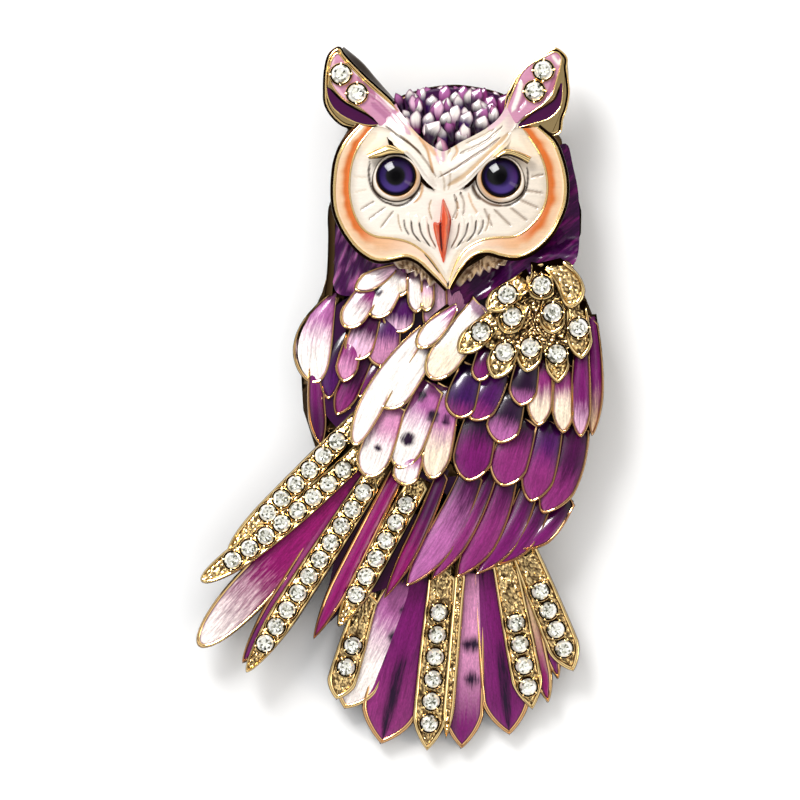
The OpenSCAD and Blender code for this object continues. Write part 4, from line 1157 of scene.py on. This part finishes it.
bm = new_mesh()
add_band(bm, brow_low, brow_high, 170, 34, brow_paint)
keep_piece(bm, "brow_relief", [face_enamel], ["brow_enamel"], angle=60)
# A dark wire under the brow's lower edge is its painted shadow.
bm = new_mesh()
for line in ([(-13, 262), (-7, 253), (2, 246), (12, 237), (18, 227), (24, 218), (34, 209)],
             [(63, 210), (70, 217.5), (84, 233), (97, 244), (106, 251)]):
    add_wire(bm, line, 2.5, FACE_Z + 0.15, ends=0.1, patina_and_shade=1.0, height=0.1, drop=0.5)
keep_piece(bm, "brow_shadow_line", [polished_gold], angle=80)

# %% [markdown]
# ## Ears
# An ear is a leaf with a pink hollow, a purple crescent behind it, and a rolled edge. It leans, so that
# the thick inner wall of the left one is seen as a dark band of painted shade. Each form is a patch inside
# its own outline, or a band between two lines, and fine wires close the enamel as the real casting does.

# %% Outlines of the ears
ear_tops = [
    [(-61, 350), (-69, 344), (-73, 329), (-74, 311), (-73, 296), (-66, 284), (-55, 275), (-40, 272),
     (-25, 273), (-10, 270), (1, 285), (-10, 298), (-22, 309), (-34, 320), (-47, 333), (-57, 344)],
    [(157, 350.5), (151, 349), (141, 342), (129, 335), (119, 326), (112, 314), (106, 302), (104, 288),
     (112, 272), (126, 272), (140, 269), (152, 264), (160, 268), (162, 280), (166, 291), (168.5, 306),
     (167.5, 320), (166, 331), (166, 342)]]
pinks = [
    [(-62, 346), (-68, 340), (-71, 326), (-66, 311), (-54, 298), (-40, 291.5), (-29, 283), (-15, 271),
     (0, 285), (-10, 296), (-21, 305.5), (-32, 315), (-43, 326), (-55, 338)],
    [(155, 347.5), (145, 343), (131, 336), (121, 326.5), (115, 314), (109.5, 300), (105, 286), (114, 275),
     (125, 283.7), (141, 293.7), (152, 306), (156, 318.5), (160, 333), (161, 342)]]
crescents = [
    ([(-72.5, 312), (-69, 310), (-58, 299), (-45, 291), (-31, 283.5), (-22, 276)],
     [(-73, 311), (-72, 302), (-67, 292), (-58, 284), (-44, 277), (-31, 274), (-22, 275)]),
    ([(160, 316), (155, 302), (145.4, 294), (133, 287), (118, 275)],
     [(162, 316), (162, 302), (159, 291), (149, 281), (134, 276), (118, 272)])]
print("points of the ears' edges:", [len(points) for points in ear_tops])

# %% [markdown]
# ## Paint of the ears
# The pink enamel is paler along its outer edge and stronger in the hollow, and the crescent is nearly
# black purple. Strokes do this, as in the face; the white strokes along the edges are painted highlights.

# %% Paint of the ears
ear_strokes = strokes_from([
    ([(-66, 342), (-70, 328), (-66, 314)], 3, 0, "dawn", 0.9),
    # The white strokes along the ears' edges are painted highlights.
    ([(-50, 334), (-36, 320), (-20, 306), (-6, 290)], 3.4, 0.05, "white", 0.9),
    ([(-28, 296), (-18, 287), (-6, 276)], 4, -0.06, "mauve", 0.4),
    ([(-26, 303), (-16, 292), (-6, 283)], 2.0, -0.06, "magenta", 0.35),
    ([(-30, 306), (-18, 297), (-8, 287)], 1.6, 0.06, "dawn", 0.9),
    ([(-42, 322), (-30, 312), (-26, 300)], 4, -0.08, "magenta", 0.45),
    ([(-66, 314), (-56, 303), (-44, 295)], 2.4, 0.05, "dawn", 0.7),
    ([(152, 344), (158, 336), (160, 340)], 2.5, 0, "white", 0.9),
    ([(121, 318), (118, 304), (112, 288)], 3.4, 0.05, "white", 1.0),
    ([(128, 316), (124, 302), (118, 288)], 3, -0.08, "magenta", 0.4),
    ([(154, 324), (150, 310), (138, 297)], 4, -0.08, "magenta", 0.45),
    ([(126, 296), (120, 290)], 2.2, 0.06, "dawn", 1.0)])


def leaf_paint(p, edge):
    # The rolled edge of the gold leaf is painted dark: painted shade.
    return EAR_Z - 0.08 - 0.35 * smooth(0.16, 0.0, edge), {"patina_and_shade": 0.9 * smooth(0.1, 0.0, edge)}


def pink_paint(p, edge):
    colour, z = pressed(ear_strokes, p, blend("pink", "rose", 0.3), EAR_Z)
    return z + 0.05 * smooth(0, 0.4, edge), painted(colour, edge, (p.x, p.y, 8))


def crescent_paint(p, s, t):
    return EAR_Z + 0.02, painted(blend("aubergine", "plum", math.sin(math.pi * t)), 1, (p.x, p.y, 9))


def wall_paint(p, s, t):
    # The ear's side wall is painted dark: painted shade.
    return mix(EAR_Z + 0.02, EAR_Z - 1.2, t), {"patina_and_shade": mix(0.95, 1.0, math.sin(math.pi * t))}


print(len(ear_strokes), "strokes in the ears")

# %% [markdown]
# ## Putting the ears together
# An ear is laid as the real one is: first the gold leaf, then the enamel in it, then the wires that
# close it. One loop makes both, from their own outlines.

# %% Ears
LEAVES = (((-46, 300), (-44, 308), -1.9), ((140, 300), (134, 308), 1.9))  # middles, step out from the rim
metal = new_mesh()
for k, (middle, hollow, out) in enumerate(LEAVES):
    add_patch(metal, ear_tops[k], middle, 30, 150, leaf_paint)
    bm = new_mesh()
    add_patch(bm, pinks[k], hollow, 30, 140, pink_paint, skirt=0.15)
    keep_piece(bm, "ear_pink_" + SIDES[k], [face_enamel], ["ear_enamel_" + SIDES[k]])
    bm = new_mesh()
    add_band(bm, *crescents[k], 60, 10, crescent_paint, skirt=0.15)
    keep_piece(bm, "ear_crescent_" + SIDES[k], [face_enamel], ["ear_shade_" + SIDES[k]])
    add_wire(metal, pinks[k][8:] + pinks[k][:7], 0.9, EAR_Z + 0.03, ends=0.2)
    add_wire(metal, crescents[k][0], 1.0, EAR_Z + 0.06, ends=0.2, patina_and_shade=1.0)
    add_wire(metal, crescents[k][1], 0.8, EAR_Z + 0.04, ends=0.2)
    rim = ear_tops[k][10:] + ear_tops[k][:8]
    add_wire(metal, rim, 0.9, EAR_Z + 0.02, drop=0.5, ends=0.2)
    add_wire(metal, beside(rim, out), 1.2, EAR_Z - 0.15, patina_and_shade=1.0, drop=0.7, ends=0.4)
add_band(metal, [(-60, 349), (-48, 335), (-34, 321), (-22, 310), (-10, 299), (0, 285)],
         [(-56, 353), (-38, 338), (-26, 324), (-16, 312.5), (-7, 302), (2, 286)], 40, 6, wall_paint)
add_band(metal, [(162, 340), (164, 325), (163, 306), (160, 288), (152, 268)],
         [(167, 342), (168.5, 325), (168.5, 306), (165, 286), (158, 264)], 40, 6, wall_paint)
keep_piece(metal, "ear_metal", [polished_gold], angle=60)

# %% [markdown]
# ## Ruff
# Below the face a ruff of short tufts shows. Its toothed edge is given point by point, and its brown
# enamel turns to cream at the tips. Fine noise that is longer up and down than across gives the hairs.

# %% Ruff
RUFF_Z = 6.3
ruffs = [
    [(-8, 141), (4, 146), (18, 144), (30, 134), (40, 124), (46, 117), (42, 112), (36, 116.5), (30, 112.5),
     (26, 120.5), (21.5, 118.5), (19, 126), (15, 122.5), (12, 129.5), (7, 126.5), (3, 134), (-1.5, 131)],
    [(110, 143), (98, 147), (84, 148), (72, 143), (60, 133), (54, 120), (60, 113), (65, 121.5), (70, 118),
     (74, 126.5), (80, 123.5), (84, 130), (89, 127), (93, 133), (98, 130.5), (101, 137), (106, 134)]]

def ruff_paint(p, edge):
    n = noise.noise(Vector((p.x * 2.2, p.y * 0.7, 3)) / 0.35)
    # The cream at the tips is partly the tufts' pale colour and partly a painted highlight.
    colour = coated("bark", ("tan", smooth(-0.35, 0.35, n)), ("cream", 0.9 * smooth(0.42, 0.08, edge)))
    return RUFF_Z + 0.2 * n - 0.25 * smooth(0.3, 0.0, edge), painted(colour, edge, (p.x, p.y, 12))


bm = new_mesh()
for ruff, centre in zip(ruffs, ((22, 131), (82, 136))):
    add_patch(bm, ruff, centre, 14, 180, ruff_paint, skirt=0.5)
keep_piece(bm, "ruff_tufts", [face_enamel], angle=70)

# %% [markdown]
# ## Neck
# Beside the ruff the neck is a sheet of deep purple enamel on each side, streaked while it was wet. The
# streaks are the same brush pattern as in the feathers, turned the way the brush went. At the right
# shoulder the sheet climbs to the ground of the stones.

# %% Neck
NECK_Z = 4.95
NECKS = [  # outline, middle, way of the streaks, their lighter shade
    ([(-58, 196), (-64, 175), (-66, 150), (-66, 112), (-50, 104), (-28, 110), (0, 120), (10, 150),
      (-20, 170)], (-40, 140), Vector((-0.35, -0.94)), "lilac"),
    ([(64, 96), (98, 108), (126, 124), (150, 136), (170, 133), (178, 148), (179.5, 180), (178, 209),
      (173, 234), (167, 256), (155, 246), (150, 190), (110, 160), (60, 140), (50, 110)],
     (110, 140), Vector((0.8, 0.6)), "orchid")]


def neck_paint(way, light):
    def paint(p, edge):
        along, aside = p.dot(way), p.x * way.y - p.y * way.x
        n = noise.noise(Vector((along / 1.8, aside / 0.35, 4)))
        x, y = on_grid(p)
        climb = 1.5 * smooth(164, 142, y) * smooth(90, 112, x)
        return NECK_Z + 0.10 * n + climb, {
            "root": SHADES["aubergine"], "tip": SHADES[light], "fade": 0.12 + 1.2 * n, "mark": 0.0,
            "edge": 1.0, "lay": (along, aside, 40)}
    return paint


bm = new_mesh()
for outline, centre, way, light in NECKS:
    add_patch(bm, outline, centre, 40, 150, neck_paint(way, light), skirt=0.6)
keep_piece(bm, "neck_sheets", [feather_enamel], ["neck_enamel"])

# %% [markdown]
# ## Grounds
# Dark purple shows in the gaps between the feathers of the body, and the same purple fills the ground
# of the crown between its petals. Three dark sheets under the feathers give it: painted shade between
# the parts. A low gold wall closes the crown behind.

# %% Grounds
def ground_paint(z, shade, layer):
    """z(p, edge) gives the height of the sheet, and layer sets its brush marks apart from the others."""
    def paint(p, edge):
        return z(p, edge), painted(SHADES[shade], 1, (p.x, p.y, layer))
    return paint


# Painted shade: dark purple sheets that show only in the gaps between feathers.
bm = new_mesh()
add_patch(bm, [(-62, 96), (-20, 112), (60, 112), (130, 92), (184, 60), (190, -20), (176, -90), (144, -134),
               (108, -154), (64, -160), (56, -120), (44, -92), (0, -66), (-56, -34), (-80, 0), (-82, 60)],
          (60, -30), 30, 150, ground_paint(lambda p, edge: 4.15 - sag(p), "aubergine", 14), skirt=0.6)
add_patch(bm, [(-44, -66), (50, -82), (34, -140), (4, -180), (-44, -200), (-80, -228), (-70, -180),
               (-56, -120)], (-20, -130), 16, 100, ground_paint(lambda p, edge: 3.5, "plum", 15), skirt=0.4)
keep_piece(bm, "body_ground", [face_enamel])
crown_edge = [(-4, 298), (0, 302), (10, 306), (30, 311.5), (55, 314), (80, 311), (102, 305), (108, 298)]
bm = new_mesh()
add_patch(bm, [(0, 292)] + crown_edge + brow_high[-2:0:-1], (50, 285), 16, 120,
          ground_paint(lambda p, edge: 5.9 - 0.5 * smooth(0.3, 0, edge), "aubergine", 13), skirt=1.0)
keep_piece(bm, "crown_ground", [face_enamel])
bm = new_mesh()
# The crown wall is painted dark: painted shade behind the petals.
add_band(bm, crown_edge, beside(crown_edge, 1.3), 60, 2, lambda p, s, t: (5.5, {"patina_and_shade": 0.8}), skirt=3.2)
keep_piece(bm, "crown_wall", [polished_gold], angle=60)

# %% [markdown]
# ## Eyes
# An eye is a domed cabochon of clear resin over a painted iris: black pupil, violet ring that is
# lighter below, and a dark border. The paint is laid in thin coats, one over the other. The resin itself
# is the clear coat of the material, which holds the picture of the window.

# %% Painted iris under resin
eye_resin, tree, base = new_material("clear_resin_over_painted_iris")
iris = add(tree, "ShaderNodeAttribute", {"attribute_name": "root"}).outputs["Color"]
join(tree, base, Base_Color=iris, Roughness=0.25, Coat_Weight=0.35, Coat_Roughness=0.02,
     Specular_IOR_Level=0.0)
SHADES.update({name: linear(code) for name, code in {
    "iris": "#200E48", "iris_light": "#523C90", "iris_red": "#4A2060", "pupil": "#020103",
    "border": "#0C0616"}.items()})
PUPILS = [((-0.6, 0.0), 9.0, 0.1), ((-4.5, 2.5), 9.8, 0.35)]  # place, radius, lean of the violet ring
EYE_R, EYE_TOP, EYE_DROP, EYE_WALL = 19.0, 8.34, 0.62, 0.6
EYE_SIDES, EYE_RINGS = 64, 30
DOME = 0.6


def iris_at(x, y, k):
    """The colour at a place in the eye, in steps of the grid from its middle."""
    (px, py), radius, lean = PUPILS[k]
    r = math.hypot(x, y) / EYE_R
    low = smooth(-0.2, 0.9, (-y * 0.9 + lean * x) / EYE_R)
    return coated("iris", ("iris_light", 0.85 * low * smooth(0.35, 0.6, r) * smooth(0.97, 0.8, r)),
                  ("iris_red", 0.6 * smooth(0.2, 0.9, x / EYE_R) * smooth(1.0, 0.7, r)),
                  ("pupil", smooth(radius + 2.2, radius - 0.6, math.hypot(x - px, y - py))),
                  ("border", smooth(0.78, 0.93, r)), ("border", 0.85 * smooth(0.1, 0.95, y / EYE_R)))


def dome(r):
    """How far a dome falls from its top, 0 in the middle and 1 at its edge."""
    return (1 - math.sqrt(1 - (DOME * r) ** 2)) / (1 - math.sqrt(1 - DOME ** 2))


print("an eye is", round(2 * EYE_R * STEP, 1), "mm wide and falls", EYE_DROP, "mm to its edge")

# %% [markdown]
# ## Domes of the eyes
# A cabochon is a shallow dome with a short wall. A lathe would make it too. A grid is bent instead,
# because each of its points can carry the painted coats.

# %% Eyes
for k, (cx, cy) in enumerate(EYES):
    def eye_place(u, w, cx=cx, cy=cy, k=k):
        j = round(w * (EYE_RINGS + 1))
        r, a = min(j, EYE_RINGS) / EYE_RINGS, 2 * math.pi * u
        x, y = EYE_R * r * math.cos(a), EYE_R * r * math.sin(a)
        p = at(cx + x, cy + y)
        z = EYE_TOP - EYE_DROP * dome(r) - (EYE_WALL if j > EYE_RINGS else 0)
        return (p.x, p.y, z), painted(iris_at(x, y, k))

    bm = new_mesh()
    bend_sheet(bm, EYE_SIDES, EYE_RINGS + 1, eye_place, cap=0)
    keep_piece(bm, "cabochon_" + SIDES[k], [eye_resin], ["eye_" + SIDES[k]], angle=70)

# %% [markdown]
# ## Lids
# The lid is a ring of ivory enamel between two dark lines, narrower above, where the brow covers it. It
# is a lathe form with a painted section, so that one short table gives its shape and its colours. A
# heavier bar of polished gold lies over each eye.

# %% Lids
LID_IN, LID_SIDES = 18.8, 72
LID = [  # radius in steps, height over the face, shade
    (18.9, -0.1, "umber"), (19.6, 0.26, "umber"), (20.4, 0.38, "honey"), (21.2, 0.42, "ivory"),
    (23.2, 0.38, "ivory"), (24.3, 0.26, "shell"), (25.1, 0.10, "umber"), (26.9, -0.18, "umber")]
rings = new_mesh()
for k, (cx, cy) in enumerate(EYES):
    def lid_place(u, w, cx=cx, cy=cy, k=k):
        r, z, name = LID[round(w * (len(LID) - 1))]
        a = 2 * math.pi * u
        lower = smooth(0.75, -0.3, math.sin(a + (0.35 if k else -0.35)))
        r = mix(LID_IN, r, mix(0.45, 1.0, lower))
        p = at(cx + r * math.cos(a), cy + r * math.sin(a))
        warm = 0.7 * smooth(0.2, 0.9, math.cos(a - (0.6 + math.pi if k else -0.6)))
        return (p.x, p.y, FACE_Z + z), painted(blend(name, "honey", warm if name == "ivory" else 0))

    bend_sheet(rings, LID_SIDES, len(LID) - 1, lid_place)
keep_piece(rings, "lid_rings", [face_enamel], angle=60)


def bar_paint(p, s, t):
    # The lower edge of the bar is painted dark: painted shade under it.
    return FACE_Z + 0.95 + 0.25 * math.sin(math.pi * t), {"patina_and_shade": 0.9 * smooth(0.25, 0.0, t)}


lids = new_mesh()
for low_line, high_line in (
        ([(-31, 240), (-20, 241), (-9, 244), (4, 244)], [(-33, 245), (-21, 251), (-10, 254), (4, 247.5)]),
        ([(95, 239), (105, 243.5), (116, 241), (127, 235)], [(95, 243), (105, 250), (117, 248), (131, 242)])):
    add_band(lids, low_line, high_line, 30, 6, bar_paint, skirt=0.5)
keep_piece(lids, "eyelids", [polished_gold], angle=60)

# %% [markdown]
# ## Beak
# The beak is a narrow wedge with a ridge, enamelled in coral red. It is a patch whose height grows with
# the distance from its outline, so that the ridge follows its middle by itself.

# %% Beak
beak_strokes = strokes_from([
    ([(40.2, 177), (40.4, 165), (41.8, 148)], 1.5, -0.2, "maroon", 1.0),
    # The lighter strokes down the ridge and on the left side are painted highlights.
    ([(45, 197), (46.5, 184), (45.5, 165), (44.2, 148)], 1.8, 0.04, "ember", 0.9),
    ([(35, 174), (37, 160), (41, 144)], 1.5, 0.0, "ember", 0.6),
    ([(50, 180), (49.5, 168), (46, 150)], 1.3, -0.05, "maroon", 0.55)])


def beak_paint(p, edge):
    y = on_grid(p)[1]
    z = FACE_Z + 0.1 + 0.8 * smooth(0, 0.55, edge) * smooth(136, 165, y) * mix(1, 0.7, smooth(180, 201, y))
    colour, z = pressed(beak_strokes, p, SHADES["coral"], z)
    return z, painted(colour, 1, (p.x, p.y, 11))


bm = new_mesh()
add_patch(bm, [(43, 201), (46, 195), (49.5, 186), (51, 177), (48.5, 161), (45.2, 143), (43.4, 136.5),
               (41.3, 142), (37, 156), (33.2, 172), (34, 177.5), (39, 177), (40.4, 186), (41.3, 195)],
          (43.6, 172), 18, 70, beak_paint)
keep_piece(bm, "beak_ridge", [face_enamel], ["beak"], angle=50)

# %% [markdown]
# ## Stones
# A chaton is a small cone of glass with a table and a ring of facets, and silver foil behind it, so that
# some facets flash white while others go grey. Its seat is a gold collar, and beads of metal are pushed
# over its girdle. Every stone takes its place and size from its solid in the frame.

# %% Foiled glass
foiled_glass, tree, base = new_material("foiled_glass_clear")
tone = add(tree, "ShaderNodeAttribute", {"attribute_name": "tone"}).outputs["Fac"]
# Painted reflection: a facet's tone runs from dark grey-green through grey to white, standing for the foil's
# flashes.
painted_flash = add(tree, "ShaderNodeValToRGB", Fac=tone, stops=[
    (0.0, linear("#3E4034")), (0.16, linear("#8C8C7A")), (0.28, linear("#E4E2D4")),
    (0.4, linear("#FFFFFA"))]).outputs["Color"]
join(tree, base, Base_Color=painted_flash, Metallic=0.5, Roughness=0.12, Coat_Weight=1.0, Coat_Roughness=0.02)
print("stones are cut from", foiled_glass.name)

# %% [markdown]
# ## Cut, collar and beads
# The crown of a chaton has sixteen facets round its table. Every face gets its own tone by chance, from
# dark grey to white: a painted reflection that stands for the foil flashing behind it. The collar is a
# short tube with a bevelled lip, and the beads are small balls, half sunk into it.

# %% Cut of a stone, its collar and its beads
FACETS = 16
COLLAR_SIDES = 28
BEAD_SIDES, BEAD_RINGS = 8, 5
CUT = [  # radius and height, as shares of the stone's own: table, its edge, crown, girdle, culet
    (0.0, 0.70), (0.30, 0.78), (0.56, 1.0), (0.78, 0.86), (1.0, 0.62), (1.0, 0.3)]
# The third column is painted patina and shade: dark in the seat and on the outer wall, bright on the lip.
COLLAR = [  # mm out from the stone, height over the girdle, depth for the plating
    (-0.02, -0.3, 1.0), (0.0, -0.02, 1.0), (0.08, 0.03, 1.0), (0.13, 0.05, 1.0), (0.15, 0.09, 0.1),
    (0.18, 0.06, 0.0), (0.21, -0.05, 0.8), (0.22, -0.4, 1.0)]


def add_stone(bm, centre, radius, height):
    """One cut stone. Every second facet is lifted a little, and each face has its own tone of painted
    reflection.
    """
    painted_flash_layer = bm.faces.layers.float["tone"]
    spin = noise.random()
    before = set(bm.faces)

    def place(u, w):
        k, step = round(w * (len(CUT) - 1)), round(u * FACETS)
        r, h = CUT[k]
        odd = step % 2
        if k == 1:
            h = 0.72 + 0.10 * odd
        if k == 3:
            r += 0.05 * odd
            h -= 0.07 * odd
        a = 2 * math.pi * (step / FACETS + spin)
        return centre + Vector((radius * r * math.cos(a), radius * r * math.sin(a), height * (h - 0.5))), {}

    bend_sheet(bm, FACETS, len(CUT) - 1, place, cap=0)
    # Each face gets a random tone: its painted flash.
    for f in bm.faces:
        if f not in before:
            f[painted_flash_layer] = noise.random()


def add_ring(bm, centre, radius, section):
    def place(u, w):
        out, up, patina_and_shade = section[round(w * (len(section) - 1))]
        r, a = radius + out, 2 * math.pi * u
        return centre + Vector((r * math.cos(a), r * math.sin(a), up)), {"patina_and_shade": patina_and_shade}

    bend_sheet(bm, COLLAR_SIDES, len(section) - 1, place, material=1)


def add_bead(bm, centre, radius):
    def place(u, w):
        a, b = 2 * math.pi * u, math.pi * w
        out = Vector((math.sin(b) * math.cos(a), math.sin(b) * math.sin(a), math.cos(b)))
        # The lower half of a bead gets painted shade.
        return centre + radius * out, {"patina_and_shade": smooth(0.3, 0.75, w)}

    bend_sheet(bm, BEAD_SIDES, BEAD_RINGS, place, material=1)


print("a stone has", FACETS, "facets round its table")

# %% [markdown]
# ## Places from the frame
# The frame holds each row of stones as one node with separate bodies. A walk along the joined edges
# parts them again, and gives the middle, radius and height of each, so that no size is typed twice.

# %% Places of the stones
def islands(obj):
    """The separate solids of a node, as lists of places in mm."""
    found = []
    bm = bmesh.new()
    bm.from_mesh(obj.data)
    bmesh.ops.remove_doubles(bm, verts=bm.verts, dist=WELD)
    left = set(bm.verts)
    while left:
        island, todo = [], [left.pop()]
        while todo:
            v = todo.pop()
            island.append(v.co / MM)
            for e in v.link_edges:
                w = e.other_vert(v)
                if w in left:
                    left.remove(w)
                    todo.append(w)
        found.append(island)
    bm.free()
    return found


def stones_of(name):
    """Middle, radius and height of each stone of a node, from the tail's end upwards."""
    rows = []
    for island in islands(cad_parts[name]):
        middle = sum(island, Vector()) / len(island)
        low, high = min(p.z for p in island), max(p.z for p in island)
        radius = max((p - middle).xy.length for p in island)
        rows.append((Vector((middle.x, middle.y, (low + high) / 2)), radius, high - low))
    return sorted(rows, key=lambda row: row[0].y)


stones = {name: stones_of(name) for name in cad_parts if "_stone" in name}
print(sum(map(len, stones.values())), "stones in", len(stones), "nodes")

# %% [markdown]
# ## Setting the stones
# Four beads hold a stone. In a row they are placed by the way to the next stone, so that they fall into
# the gaps between two. The random numbers start from a fixed seed, so that every run paints the same
# flashes.

# %% Stones
BEAD = 0.12
SEED = 7
noise.seed_set(SEED)
for name, row in stones.items():
    bm = new_mesh()
    bm.faces.layers.float.new("tone")
    for k, (centre, radius, height) in enumerate(row):
        add_stone(bm, centre, radius * 0.98, height)
        add_ring(bm, centre + Vector((0, 0, height * 0.06)), radius * 0.96, COLLAR)
        if len(row) == 1:
            way = Vector((1, 1, 0))
        else:
            way = row[k + 1 if k + 1 < len(row) else k - 1][0] - centre
        way.normalize()
        across = Vector((-way.y, way.x, 0)).normalized()
        for a in (-1, 1):
            for b in (-1, 1):
                spot = centre + (way * a * 0.78 + across * b * 0.72) * (radius + 0.05)
                add_bead(bm, spot + Vector((0, 0, height * 0.1)), BEAD)
    keep_piece(bm, "cut_" + name, [foiled_glass, polished_gold], [name], angle=12)

# %% [markdown]
# ## The casting behind the feathers
# The back and the sides of the casting have their true shape in the solid. A copy of it is used, with
# its front sunk under the finer feathers, so that the hollow, the pads and the outline stay. The head
# and the shoulder are sunk deeper than the rest, because their finer forms lie lower.

# %% Body
SUNK, SUNK_DEEP = 0.78, 1.4
body = bmesh.new()
body.from_mesh(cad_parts["casting"].data)
bmesh.ops.remove_doubles(body, verts=body.verts, dist=WELD)
body.normal_update()
patina_and_shade_layer = body.verts.layers.float.new("patina_and_shade")
front = [v for v in body.verts if any(f.normal.z > 0.3 for f in v.link_faces)
         and not any(f.normal.z < -0.3 for f in v.link_faces)]
# Painted shade: the casting is dark brown, and near black on its sunk front, which shows only in the gaps
# between pieces.
for v in body.verts:
    v[patina_and_shade_layer] = 0.8
for v in front:
    x, y = on_grid(v.co / MM)
    v.co.z -= (SUNK_DEEP if y > 235 or (x > 100 and 92 < y < 150) else SUNK) * MM
    v[patina_and_shade_layer] = 0.95
print(len(front), "of", len(body.verts), "points sunk")
keep_piece(body, "cast_body", [polished_gold], ["casting"], angle=30)

# %% [markdown]
# ## Pin
# The pin is steel wire with nickel plating, greyer than the gold round it, and the drawing die leaves fine
# lines along it. It is plain, so the solid is used as it is. The lines are noise that is stretched along
# the wire, 0.1 mm wide and 2 mm long.

# %% Pin
steel, tree, base = new_material("nickel_plated_steel")
where = add(tree, "ShaderNodeTexCoord").outputs["Object"]
drawn = add(tree, "ShaderNodeMapping", Vector=where,
            Scale=(1 / (2 * MM), 1 / (0.1 * MM), 1 / (0.1 * MM))).outputs[0]
lines = add(tree, "ShaderNodeTexNoise", Vector=drawn, Scale=1.0, Detail=2.0).outputs["Fac"]
grey = add(tree, "ShaderNodeValToRGB", Fac=lines, stops=[
    (0.3, linear("#B9B7B0")), (0.7, linear("#DAD8D2"))]).outputs["Color"]
join(tree, base, Base_Color=grey, Metallic=1.0, Roughness=0.24)
pin = bmesh.new()
pin.from_mesh(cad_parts["pin_back"].data)
keep_piece(pin, "pin_stem", [steel], ["pin_back"], angle=30)
